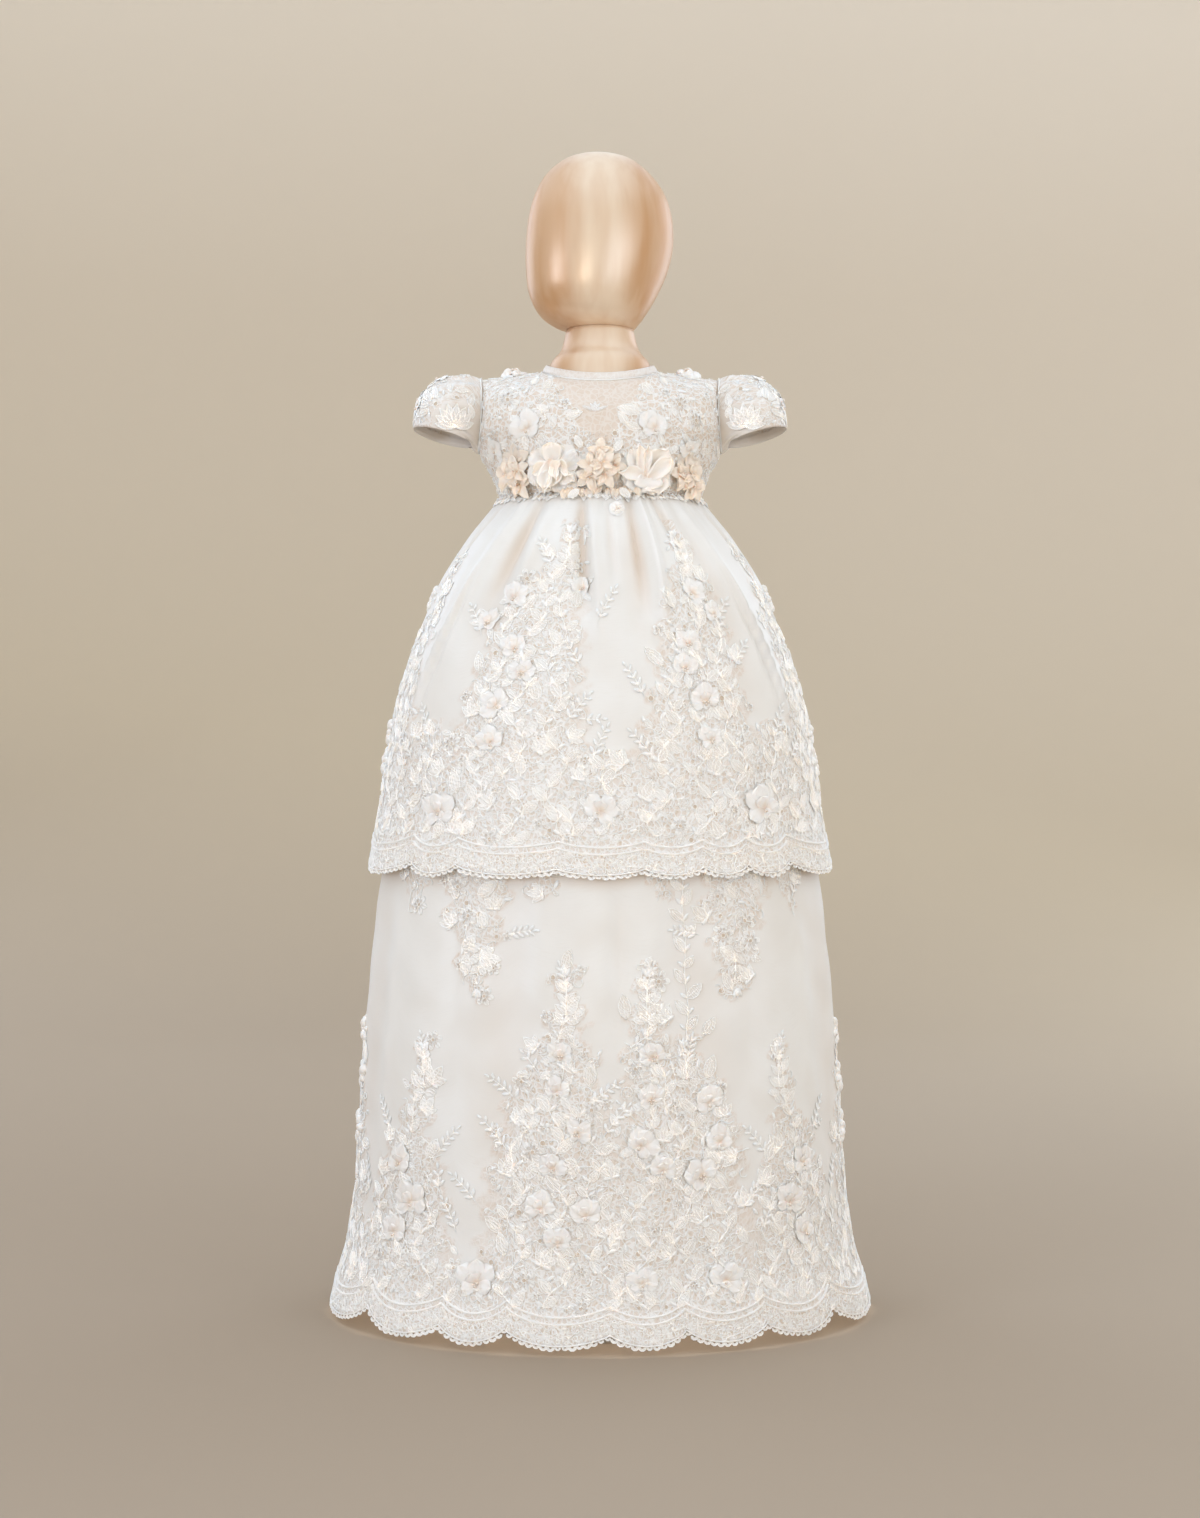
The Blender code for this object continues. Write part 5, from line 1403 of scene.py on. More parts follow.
def neckEdge(turn, inset=0.0):
    # the seam between bodice and binding: turn 0 is the front, pi the back
    n, c = neckEdgeSize, np.cos(turn)
    return np.stack([
        (n["halfWidth"] - inset) * np.sin(turn), -((n["halfDepth"] - inset) * c + n["bulge"] * c * c),
        n["side"] - inset - n["dip"] * c - n["curve"] * c * c,
    ], axis=-1)


def armholeDepth(height):
    share = (height - bodice["armholeMiddle"]) / bodice["armholeHalfHeight"]
    return bodice["armholeHalfDepth"] * math.sqrt(max(0, 1 - share * share))


def bodySection(side, angle, armhole=1, inset=0.0, chestInset=0.0):
    # points up one column, from the waist to the shoulder or neck seam: side is -1 in front, 1 behind
    turn, points = math.radians(angle), []
    depths = bodice["frontDepths"] if side < 0 else bodice["backDepths"]
    for height, halfWidth, depth in zip(bodice["heights"], bodice["halfWidths"], depths):
        edge = armhole * armholeDepth(height)
        y = edge + (depth - chestInset - edge) * math.cos(turn)
        points.append(((halfWidth - chestInset) * math.sin(turn), side * y, height))
    half, roll = bodice["neckAngle"], bodice["rollDrop"]
    if abs(angle) <= half:
        quarter = math.pi / 2 * angle / half
        top = neckEdge(quarter if side < 0 else math.pi - quarter, inset)
        out = bodice["neckRoll"] + (bodice["shoulderRoll"] - bodice["neckRoll"]) * math.sin(quarter) ** 2
    else:
        share = (abs(angle) - half) / (90 - half)
        tip = np.array(bodice["shoulderTip"]) - (chestInset, 0, inset)
        top = neckEdge(math.pi / 2, inset) * (1 - share) + tip * share
        top[0] = math.copysign(top[0], angle)
        shoulder = bodice["shoulderRoll"]
        out = shoulder + (armhole * armholeDepth(tip[2] - roll) - shoulder) * share
    points += [top + (0, side * max(out - inset, 0), -roll - inset / 2), top]
    return np.array(points)


def onCurve(points, places):
    # points on the smooth curve through a list of points, at places from 0 to 1
    scaled = np.clip(places, 0, 1) * (len(points) - 1)
    k = np.minimum(scaled.astype(int), len(points) - 2)
    t = (scaled - k)[:, None]
    before, after = points[np.maximum(k - 1, 0)], points[np.minimum(k + 2, len(points) - 1)]
    first, second = points[k], points[k + 1]
    square, cube = 2 * before - 5 * first + 4 * second - after, 3 * first - before - 3 * second + after
    return 0.5 * (2 * first + (second - before) * t + square * t**2 + cube * t**3)


def bodiceShare(x, z):
    sway = 0.0016 * np.sin(z * 260 + x * 90) + 0.0012 * np.sin(z * 520 - x * 260)
    plain = np.interp(z, bodice["plainHeights"], bodice["plainHalfWidths"])
    return np.clip((np.abs(x) + sway - plain) / 0.004, 0, 1)


def bodiceSurface(side):
    s, v = np.linspace(-89.9, 89.9, bodice["columns"] + 1), np.linspace(0, 1, bodice["rows"])
    # s runs to the right as each side is seen, so it turns round behind
    points = np.stack([onCurve(bodySection(side, -side * a), v) for a in s], axis=1)
    points[..., 2] -= bodice["seamGap"] * v[:, None]
    points[..., 1] = side * (np.maximum(side * points[..., 1], 0) + bodice["seamGap"] / 2)
    plain = Surface(s, v, points)
    x, z = points[..., 0], points[..., 2]
    rise = foldRise(bodice["folds"], x * 1000, z) + 0.0004 * bodiceShare(x, z)
    calm = np.clip(np.minimum(v, 1 - v) * 12, 0, 1)[:, None] * np.clip((90 - np.abs(s)) / 12, 0, 1)
    return Surface(s, v, points + plain.normals * (rise * calm)[..., None])


def edgeStitches(trim, surface, s, t, gap=0.0022):
    # a row of short stitches along an edge
    at, up = evenly(surface, s, t, gap)
    perS, perT = surface.scales(at, up)
    turn = np.arctan2(np.gradient(up) * perT, np.gradient(at) * perS)
    stitch = np.column_stack([np.linspace(-0.0007, 0.0007, 3), np.zeros(3), [0.0, 0.00025, 0.0]])
    trim.stamp(surface, [(tube(stitch, 0.00018), 0)], spots(at, up, turn, 1.0, 0.0001))


# the panels of the front and of the back, each with its first and last place across
bodiceParts = {
    -1: (("bodice_front", -90, 90),),
    1: (("bodice_back_right", -90, 0), ("bodice_back_left", 0, 90)),
}


def makeBodice():
    rng = random.Random(bodice["seed"])
    panels = {}
    for side, parts in bodiceParts.items():
        surface = bodiceSurface(side)
        for name, first, last in parts:
            s = surface.s[(surface.s >= first - 0.2) & (surface.s <= last + 0.2)]
            grid = np.broadcast_to(s, (len(surface.t), len(s)))
            points = surface.at(grid, np.broadcast_to(surface.t[:, None], grid.shape))
            if side > 0:
                keep, x = bodice["seamGap"] / 2, points[..., 0]
                points[..., 0] = np.maximum(x, keep) if first < 0 else np.minimum(x, -keep)
            lace = np.maximum(bodiceShare(points[..., 0], points[..., 2]), bodice["netShare"])
            # painted shade: the garland's shadow on the front below the shade top, over a painted shade on
            # the whole bodice
            low = np.clip((bodice["shadeTop"] - points[..., 2]) / bodice["shadeReach"], 0, 1)
            valley = np.maximum(bodice["lowShade"] * low * (side < 0), bodice["shade"])
            panel = clothPiece(name + "_cloth", points, lace, valley=valley)
            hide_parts(name)
            panels[name] = panel
            panels[name, "lace"] = layBodiceLace(name, rng, surface, side, (max(first, -86), min(last, 86)))
    return panels


def clothTree(objects):
    points, faces = [], []
    for obj in objects:
        first = len(points)
        points += [vert.co.copy() for vert in obj.data.vertices]
        faces += [[first + index for index in polygon.vertices] for polygon in obj.data.polygons]
    return BVHTree.FromPolygons(points, faces)


def layOnto(trim, tree, shapes, x, z, angle, lift=0.0004):
    # shapes laid on the cloth as they are seen from the front, left out where they would run past it
    for shape, slot in shapes:
        points, faces = turned(shape, angle)
        placed = []
        for along, up, out in points:
            hit, normal = tree.ray_cast(Vector((x + along, -1, z + up)), Vector((0, 1, 0)))[:2]
            if hit is not None:
                placed.append(hit + normal * (-1 if normal.y > 0 else 1) * (out + lift))
        if len(placed) == len(points):
            trim.add((np.array(placed), faces), slot)


def layBodiceLace(name, rng, surface, side, across):
    trim, petals = Trim(), Trim()
    low, high = across
    if side > 0:
        # clear of the back opening
        low, high = (low + 4, high) if low >= 0 else (low, high - 4)
    taken = []

    def placed(kind):
        # the plan of the front, repeated on each side of the back opening
        for x, z, *rest in bodice[kind]:
            s, t = surface.find(x, z) if side < 0 else surface.findBehind(x, z)
            if low <= s <= high:
                yield s, t, rest

    for s, t, (radius,) in placed("pearlFlowers"):
        taken.append(layFlower(trim, petals, rng, surface, s, t, radius * 1.3, 0.0030))
    for s, t, (radius,) in placed("flowers"):
        trim.stamp(surface, loopFlowerShapes(7, radius), [(s, t, rng.uniform(0, 6), 1, laceLift)])
        trim.stamp(surface, ringShapes(radius * 1.05, 0.0004, False), [(s, t, 0, 1, laceLift)])
        taken.append((*surface.at(s, t), radius))
    for s, t, (turn, length) in placed("leaves"):
        trim.stamp(surface, cordedLeafShapes(length), [(s, t, math.radians(turn), 1, laceLift)])
        taken.append((*surface.at(s, t), length * 0.4))
    for s, t, (turn, size) in placed("curls"):
        trim.stamp(surface, curlShapes(size), [(s, t, math.radians(turn), 1, laceLift)])
    if side < 0:
        s, t = surface.find(*bodice["yokeFan"])
        for turn, length in bodice["yokeBuds"]:
            bud = budShapes(length, 0.0030)[0][0]
            trim.stamp(surface, [(bud, 1)], [(s, t, math.radians(turn), 1, 0.0002)])

    def share(s, t):
        return bodiceShare(*surface.at(s, t)[:, [0, 2]].T)

    kept = (low, high)
    found = scatter(rng, surface, kept, (0.03, 0.965), bodice["motifGap"], share, taken, 0.5, 4000)
    layMotifs(trim, rng, surface, found, smallMotifs, 1.6)
    beads = scatter(rng, surface, kept, (0.03, 0.97), beadGap * 0.8, share, (), 0.5, 5000)
    trim.stamp(surface, [(beadShape(0.0005), 0)], spots(*np.array(beads).T, lift=0.0006))
    ends = np.linspace(*across, 120)
    for rise in (0.012, 0.985):
        edgeStitches(trim, surface, ends, np.full(120, rise))
    pieces = buildLace(name, trim, petals)
    print(name, "lace:", len(found), "motifs,", len(pieces[0].data.polygons), "faces")
    return pieces


bodicePanels = makeBodice()
print("bodice made")


sleeve = {
    "bulge": (0.1325, 0.0245, 0.0480, 0.7760, 0.0320, 0.0390),
    "hem": (0.1345, 0.0260, 0.0460, 0.7485, 0.0065, 0.0065),
    "start": 0.0006,
    "pleats": 9,
    "pleatDepth": 0.0034,
    # round from the top towards the front, height up the sleeve, and radius
    "topFlowers": ((0.0, 0.30, 0.011), (-0.06, 0.20, 0.010), (-0.02, 0.62, 0.008)),
    "flowerRise": 0.0035,
    "motifGap": 0.0078,
    "columns": 176,
    "rows": 46,
    "hemFacing": 0.008,
    # x, z, radius and lean of the pleated fan
    "fan": (0.1225, 0.7510, 0.0200, 6),
    # x, z, direction and length of the leaves on the outer top corner
    "corner": (
        (0.1440, 0.7700, 20, 0.0120), (0.1420, 0.7740, 55, 0.0130), (0.1400, 0.7760, 95, 0.0120),
        (0.1440, 0.7660, -20, 0.0110), (0.1100, 0.7700, 100, 0.0120), (0.1080, 0.7600, 80, 0.0110),
    ),
    "wall": 0.0009,
    # painted shade over the whole sleeve
    "shade": 0.5,
    "seed": 53,
}


def sleeveRing(ring, turn):
    x, xRadius, yRadius, height, up, down = ring
    z = height + np.where(np.sin(turn) > 0, up, down) * np.sin(turn)
    return np.stack([x + xRadius * np.sin(turn), -yRadius * np.cos(turn), z], axis=-1)


def sleevePoints(u, v):
    # round the right sleeve with u, from the front over the top, and with v from the hem up to the armhole
    turn, t = 2 * math.pi * u, (1 - v)[..., None]
    height = bodice["armholeMiddle"] + bodice["armholeHalfHeight"] * np.sin(turn)
    tip = bodice["shoulderTip"]
    width = np.interp(height, (*bodice["heights"], tip[2]), (*bodice["halfWidths"], tip[0]))
    depth = -bodice["armholeHalfDepth"] * np.cos(turn)
    start = np.stack([width + sleeve["start"], depth, height], axis=-1)
    bulge, hem = sleeveRing(sleeve["bulge"], turn), sleeveRing(sleeve["hem"], turn)
    return start * (1 - t) ** 2 + bulge * (2 * t * (1 - t)) + hem * t**2


def sleeveSurface(mirror):
    # outwards is to the right of s, so that the left sleeve runs the other way round
    s, v = np.linspace(-0.02, 1.02, 209), np.linspace(0, 1, 60)
    u = s if mirror > 0 else 1 - s
    grid = np.broadcast_to(u, (len(v), len(u)))
    points = sleevePoints(grid, np.broadcast_to(v[:, None], grid.shape)) * (mirror, 1, 1)
    plain = Surface(s, v, points)
    crown = np.maximum(0, np.sin(2 * math.pi * grid)) ** 0.6
    fade = crown * v[:, None] ** 1.6 * np.clip((1 - v[:, None]) * 9, 0, 1)
    uneven = sleeve["pleats"] * (grid + 0.012 * np.sin(21 * grid))
    waves = np.cos(2 * math.pi * uneven) + 0.35 * np.cos(5.4 * math.pi * uneven + 1)
    pleats = sleeve["pleatDepth"] * fade * waves
    under = np.maximum(0, -np.sin(2 * math.pi * grid))
    drag = 0.0017 * under * np.sin(math.pi * v[:, None]) * np.sin(2 * math.pi * grid * 9 + 5 * v[:, None])
    soft = 0.0006 * np.sin(2 * math.pi * grid * 5 + 3 * v[:, None]) * np.sin(math.pi * v[:, None])
    return Surface(s, v, points + plain.normals * (pleats + drag + soft)[..., None])


def sleeveShare(mirror, s, t):
    # lace over the crown and down the outer half, plain satin under it
    crown = mirror * np.sin(2 * math.pi * np.asarray(s))
    sway = 0.10 * np.sin(np.asarray(s) * 70) + 0.08 * np.sin(np.asarray(t) * 23)
    return np.clip((crown + sway - 0.12 + 0.25 * (np.asarray(t) - 0.5)) / 0.12, 0, 1)


def makeSleeve(name, mirror):
    rng = random.Random(sleeve["seed"] + mirror)
    surface = sleeveSurface(mirror)
    s, v = np.linspace(0, 1, sleeve["columns"] + 1), np.linspace(1, 0, sleeve["rows"])
    grid, rows = np.meshgrid(s, v)
    points = surface.at(grid, rows)
    perT = surface.scales(s, np.full(len(s), 0.05))[1]
    turnUps = [surface.at(s, sleeve["hemFacing"] * k / 2 / perT, -sleeve["wall"]) for k in range(3)]
    points = np.concatenate([points, np.array(turnUps)])[::-1]
    lace = np.concatenate([0.8 * sleeveShare(mirror, grid, rows), np.zeros((3, len(s)))])[::-1]
    cloth = clothPiece(name + "_cloth", points, lace, True, sleeve["shade"])
    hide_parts(name)
    trim, petals = Trim(), Trim()
    # a pleated fan at the front, leaves on the outer top corner, flowers over the crown
    tree = clothTree([cloth])
    x, z, radius, lean = sleeve["fan"]
    angle = math.radians(-mirror * lean)
    layOnto(trim, tree, fanShapes(8, radius, 0.0007), mirror * x, z, angle, 0.0010)
    taken = [(mirror * x, -0.047, z + radius / 2, radius * 0.75)]
    for x, z, lean, length in sleeve["corner"]:
        angle = math.radians(lean if mirror > 0 else 180 - lean)
        layOnto(trim, tree, leafShapes(length, length * 0.5, 0.0005), mirror * x, z, angle)
        taken.append((mirror * x, -0.03, z, 0.006))
    top = surface.s[np.abs(surface.points[20, :, 2] - surface.points[20, :, 2].max()).argmin()]
    for shift, up, radius in sleeve["topFlowers"]:
        place = (top + mirror * shift, up, radius, sleeve["flowerRise"])
        taken.append(layFlower(trim, petals, rng, surface, *place, standingPetals))

    def share(s, t):
        return sleeveShare(mirror, s, t)

    found = scatter(rng, surface, (0.02, 0.98), (0.06, 0.90), sleeve["motifGap"], share, taken, 0.5, 3000)
    layMotifs(trim, rng, surface, found, smallMotifs, 2.5)
    around = np.linspace(0, 1, 200)
    edgeStitches(trim, surface, around, 0.0055 / surface.scales(around, np.full(200, 0.05))[1])
    trim.cord(surface, around, np.full(200, 0.985), 0.0006)
    trims = buildLace(name, trim, petals)


makeSleeve("sleeve_left", -1)
makeSleeve("sleeve_right", 1)
print("sleeves made")


binding = {
    "height": 0.0069,
    "lean": 0.0030,
    "roll": 0.0003,
    "fold": 0.0010,
    "piping": 0.0008,
    "lace": 0.32,
    "columns": 220,
    "rows": 14,
}


def bindingSurface():
    gap = bodice["seamGap"] / neckEdgeSize["halfWidth"]
    turn = np.linspace(-math.pi + gap, math.pi - gap, binding["columns"])
    share = np.linspace(0, 1, binding["rows"])
    out = np.stack([np.sin(turn), -np.cos(turn), np.zeros_like(turn)], axis=-1)
    lean = binding["roll"] * (1 - (2 * share - 1) ** 2) - binding["lean"] * share**1.5
    rise = np.array([0, 0, 1]) * (binding["height"] * share)[:, None, None]
    points = neckEdge(turn)[None] + out[None] * lean[:, None, None] + rise
    return Surface(turn, share, points), out


def makeBinding():
    surface, out = bindingSurface()
    edge = surface.points[-1]
    inner = [surface.points[k] - out * binding["fold"] for k in (-1, -5, -9, 0)]
    brow = edge - out * binding["fold"] / 2 + (0, 0, 0.0003)
    points = np.concatenate([surface.points, brow[None], np.array(inner)])
    cloth = clothPiece("neck_binding", points, np.full(points.shape[:2], binding["lace"]))
    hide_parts("neck_band")
    trim = Trim()
    trim.cord(surface, surface.s, np.full(len(surface.s), 0.02), binding["piping"], 0.0001)
    edgeStitches(trim, surface, surface.s, np.full(len(surface.s), 0.22), 0.0019)
    cords = trim.build("neck_piping", laceMaterials, "plain_satin")


makeBinding()


garland = {
    # x, z and lean from the front in degrees of each satin rose, then its petals from the lowest one up:
    # x and z of the foot, direction in degrees, length, width, cup, bend, tilt and lift, in millimetres
    "roses": {
        "rose_left": (-0.0385, 0.7135, -14, (
            (0, 4, 90, 18, 20, 0.3, 0.0, 0.05, 0.6), (-4, 3, 142, 20, 19, 0.3, 0.1, 0.05, 0.7),
            (-5, -1, 196, 19, 18, 0.3, 0.1, 0.05, 0.8), (-3, -5, 236, 17, 18, 0.3, 0.0, 0.05, 0.9),
            (2, -5, 290, 16, 18, 0.3, 0.0, 0.05, 0.9), (5, -4, -32, 20, 18, 0.3, -0.1, 0.05, 0.8),
            (5, 2, 12, 20, 19, 0.3, 0.1, 0.05, 0.7), (4, 4, 50, 20, 18, 0.3, -0.1, 0.05, 0.7),
            (0, 3, 93, 19, 19, 0.45, 0.0, 0.22, 2.0), (-1, 3, 190, 18, 12, 0.7, 0.25, 0.16, 3.0),
            (2, 4, -12, 16, 12, 0.8, -0.45, 0.20, 3.2), (3, -4, -36, 18, 13, 0.6, 0.20, 0.12, 2.4),
            (-3, -4, 226, 15, 13, 0.6, 0.1, 0.12, 2.4), (-2, 8, -104, 29, 14, 0.8, 0.08, 0.08, 3.8),
            (6, 6, -98, 24, 12, 0.8, -0.16, 0.08, 3.4), (0, -3, 64, 11, 9, 0.9, -0.20, 0.30, 4.8),
            (1, 6, -84, 17, 9, 0.9, 0.10, 0.12, 5.2),
        )),
        "rose_right": (0.0378, 0.7120, 13, (
            (-3, 4, 112, 18, 19, 0.3, 0.0, 0.05, 0.6), (-5, 1, 154, 18, 18, 0.3, 0.1, 0.05, 0.7),
            (-5, -3, 196, 17, 17, 0.3, 0.1, 0.05, 0.8), (-2, -5, 238, 16, 19, 0.3, 0.0, 0.05, 0.9),
            (3, -5, 286, 16, 19, 0.3, 0.0, 0.05, 0.9), (6, -2, -22, 17, 19, 0.3, -0.1, 0.05, 0.8),
            (6, 1, 22, 18, 19, 0.3, -0.1, 0.05, 0.7), (2, 4, 66, 18, 20, 0.3, 0.0, 0.05, 0.6),
            (-6, -4, 110, 23, 14, 0.45, 0.0, 0.12, 2.2), (0, -6, 54, 30, 25, 0.42, -0.05, 0.14, 2.8),
            (1, -7, 34, 25, 15, 0.6, 0.12, 0.20, 4.2), (-5, -5, 94, 27, 9, 0.7, 0.0, 0.12, 4.0),
            (-1, -5, 87, 26, 8, 0.7, 0.0, 0.14, 4.4), (7, -3, -78, 17, 24, 0.3, 0.0, 0.08, 2.4),
            (-6, -4, -104, 16, 22, 0.3, 0.0, 0.08, 2.8), (1, -1, -90, 16, 26, 0.35, 0.0, 0.10, 3.6),
            (1, -5, 170, 25, 13, 0.5, 0.10, 0.12, 4.0),
        )),
    },
    # x, z, lean, half width, half height, rise, florets and petal length of each cluster
    "clusters": {
        "cluster_centre": (-0.0010, 0.7145, 0, 0.0190, 0.0220, 0.0100, 6, 0.0122),
        "cluster_left": (-0.0695, 0.7100, -38, 0.0165, 0.0190, 0.0075, 4, 0.0150),
        "cluster_right": (0.0715, 0.7085, 38, 0.0170, 0.0185, 0.0075, 4, 0.0150),
    },
    # x along the waist, direction and length of each petal of the strip under the middle cluster
    "waistStrip": (
        (-30, -104, 10.0), (-26, -84, 9.5), (-22, -100, 10.5), (-18, -78, 9.5), (-14, -98, 10.0),
        (-10, -86, 10.5), (-6, -102, 9.5), (-2, -80, 10.0), (2, -96, 10.5), (6, -84, 9.5), (10, -100, 10.0),
        (14, -80, 10.5), (18, -98, 9.5), (22, -84, 10.0), (26, -102, 10.5), (30, -80, 9.5),
    ),
    # foot x, foot z and direction of the stamens and of the lace leaves that show past the petals
    "stamens": ((-6, 17, 112), (-3, 18, 98), (0, 18, 84), (3, 17, 70), (8, 15, 60)),
    "laceLeaves": ((12, 12, 52), (-14, 15, 118), (17, -18, -40), (-16, -19, 215)),
    "petalThickness": 0.0004,
    "clusterThickness": 0.0003,
    "clearance": 0.0009,
    # petals of each round of a floret, their size and tilt
    "florets": ((5, 1.0, 0.22), (3, 0.72, 0.42)),
    "stamenLength": 0.0085,
    # x, z and lean of the pearl flower, place of the right shoulder flower and the way that it faces
    "pearlFlower": (0.0140, 0.6790, 6),
    "shoulder": (0.0740, -0.006, 0.8010),
    "shoulderOut": (0, -0.45, 0.89),
    # radius, squeeze from above, rise, petals and pearls of both kinds of small flower
    "waistBloom": (0.0068, 0.0, 0.0045, 5, 1),
    "shoulderBloom": (0.0135, 0.22, 0.0075, 5, 2),
}
goldenTurn = 2.39996


class Seat:
    # a place on the cloth that a flower faces away from, and the cloth that its petals rest on
    def __init__(self, tree, centre, outward):
        self.tree, self.centre = tree, Vector(centre)
        self.outward = Vector(outward).normalized()
        up = Vector((0, 0, 1)) if abs(self.outward.z) < 0.5 else Vector((0, 1, 0))
        self.up = (up - self.outward * up.dot(self.outward)).normalized()
        self.across = self.up.cross(self.outward) * -1
        if self.across.cross(self.up).dot(self.outward) < 0:
            self.across = -self.across

    def lay(self, shape, clearance):
        # the shape's points in place, pushed out wherever they would touch the cloth
        axes = np.array([self.across, self.up, self.outward])
        placed = shape[0] @ axes + np.array(self.centre)
        for k, point in enumerate(placed):
            start = Vector(point) + self.outward * 0.08
            hit = self.tree.ray_cast(start, -self.outward)[0]
            if hit is not None:
                least = clearance - (Vector(point) - hit).dot(self.outward)
                placed[k] = placed[k] + np.array(self.outward) * max(least, 0)
        return placed, shape[1]


def addPetal(trim, seat, made, turn, foot, clearance):
    # one soft petal on its seat, with its depth from the foot to the tip, which sets its painted shade and
    # light: made holds its rows and depths
    rows, depth = made
    shape = gridShape(rows)
    away = np.linalg.norm(shape[0][:, None] - rows.reshape(-1, 3)[None], axis=2)
    placed = turned(shape, turn, foot)
    trim.add(seat.lay(placed, clearance), 0, None, depth.reshape(-1)[away.argmin(axis=1)])


def finishPetals(obj, thickness):
    solid = obj.modifiers.new("Thickness", "SOLIDIFY")
    solid.thickness, solid.offset = thickness, 0
    smooth = obj.modifiers.new("Smooth", "SUBSURF")
    smooth.levels = smooth.render_levels = 1
    return obj


def seatOn(tree, x, z, lean):
    turn = math.radians(lean)
    centre = tree.ray_cast(Vector((x, -1, z)), Vector((0, 1, 0)))[0]
    return Seat(tree, centre, (math.sin(turn), -math.cos(turn), 0))


def makeRose(name, x, z, lean, petals, tree):
    rng = random.Random(len(petals))
    seat, trim = seatOn(tree, x, z, lean), Trim()
    for footX, footZ, direction, length, width, cup, bend, tilt, lift in petals:
        made = curledPetal(rng, length / 1000, width / 1000, cup, bend, tilt)
        foot = np.array([footX, footZ, lift]) / 1000
        addPetal(trim, seat, made, math.radians(direction), foot, garland["clearance"])
    obj = trim.build(name + "_satin", (roseMaterial,), "plain_satin")
    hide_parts(name)
    return finishPetals(obj, garland["petalThickness"])


def pointedPetal(length, tilt, wave):
    # a pointed petal along +x with a crease down its middle
    v, u = np.linspace(0, 1, 7), np.linspace(-1, 1, 5)[:, None]
    half = length * 0.34 * np.sin(math.pi * v**0.85) ** 0.75
    return gridShape(np.stack([
        np.broadcast_to(length * v, (5, 7)), u * half,
        length * (tilt * v - 0.35 * v**3) + 0.30 * half * np.abs(u) + 0.0006 * np.sin(3 * u + v * 4 + wave),
    ], axis=-1))


def makeCluster(name, centreX, centreZ, lean, halfWidth, halfHeight, rise, florets, petalLength, tree):
    # pointed petals in small florets over a low dome, with stamens between them
    rng = random.Random(len(name) * 7 + florets)
    seat, trim = seatOn(tree, centreX, centreZ, lean), Trim()

    def addPointed(shape, turn, foot, length):
        points, faces = turned(shape, turn, foot)
        # painted shade at each petal's foot, painted light towards its tip
        depths = np.clip(np.linalg.norm(points - foot, axis=1) / length, 0, 1)
        trim.add(seat.lay((points, faces), garland["clearance"]), 0, None, depths)

    def addStamen(foot, tip):
        trim.add(seat.lay(tube(np.array([foot, (foot + tip) / 2, tip]), 0.00028, whole=True), 0.0005), 1)
        points, faces = beadShape(0.00085)
        trim.add(seat.lay((points + tip, faces), 0.001), 2)

    for k in range(florets):
        share = math.sqrt((k + 0.3) / florets)
        angle = k * goldenTurn + 0.6
        x, z = halfWidth * 0.70 * share * math.cos(angle), halfHeight * 0.70 * share * math.sin(angle)
        foot = np.array([x, z, 0.0010 + (rise - 0.004) * (1 - share**2)])
        for layer, (petals, size, tilt) in enumerate(garland["florets"]):
            for j in range(petals):
                length = petalLength * size * rng.uniform(0.9, 1.12)
                turn = angle + 2 * math.pi * (j + 0.5 * layer + rng.uniform(-0.15, 0.15)) / petals
                addPointed(pointedPetal(length, tilt, j), turn, foot + (0, 0, 0.0006 * layer), length)
        for j in range(2):
            turn = rng.uniform(0, 6.28)
            tip = foot + (0.0018 * math.cos(turn), 0.0018 * math.sin(turn), 0.0052)
            addStamen(foot + (0, 0, 0.001), tip)
    if name == "cluster_centre":
        for place, direction, length in garland["waistStrip"]:
            foot = np.array([place / 1000, -halfHeight + rng.uniform(0.0035, 0.0070), 0.0008])
            direction, length = direction + rng.uniform(-26, 26), length * rng.uniform(0.7, 1.05) / 1000
            addPointed(pointedPetal(length, 0.08, place), math.radians(direction), foot, length)
        for footX, footZ, direction in garland["stamens"]:
            foot, angle = np.array([footX, footZ, 3]) / 1000, math.radians(direction)
            tip = foot + np.array([math.cos(angle), math.sin(angle), 0.25]) * garland["stamenLength"]
            addStamen(foot, tip)
        for footX, footZ, direction in garland["laceLeaves"]:
            foot = np.array([footX, footZ, 2.5]) / 1000
            for shape, slot in turnedAll(leafShapes(0.0125, 0.0062), math.radians(direction), foot):
                trim.add(seat.lay(shape, garland["clearance"]), 1 if slot == 0 else 3)
    materials = (beigeMaterial, threadMaterial, pearlMaterial, leafMaterial)
    obj = trim.build(name + "_petals", materials, "beige_petal")
    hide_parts(name)
    return finishPetals(obj, garland["clusterThickness"])


def makePetalBloom(name, seat, bloom, node, slot, seed):
    # a small flower of soft petals in two rounds, with pearls in its middle
    radius, squeeze, rise, petals, pearls = bloom
    rng, trim = random.Random(seed), Trim()
    for layer, (number, size, lift) in enumerate(((petals, 1.0, 0.0), (petals - 2, 0.66, 0.35))):
        for k in range(number):
            turn = 2 * math.pi * (k + 0.5 * layer + rng.uniform(-0.12, 0.12)) / number
            reach = radius * size * rng.uniform(0.9, 1.05) * (1 - squeeze * abs(math.sin(turn)))
            made = softPetal(rng, reach, radius * size * 1.15, rise * 0.55, 9)
            addPetal(trim, seat, made, turn, (0, 0, rise * lift), 0.0007 + 0.0005 * layer)
    bead = beadShape(0.0012, 2)
    for k in range(pearls):
        reach = 0.0016 if pearls > 1 else 0
        place = np.array([reach * math.cos(k * 2.1), reach * math.sin(k * 2.1), rise * 0.8])
        trim.add(seat.lay((bead[0] + place, bead[1]), 0.0018), 1)
    obj = trim.build(name, (chiffonMaterial, pearlMaterial), slot)
    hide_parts(node)
    return obj


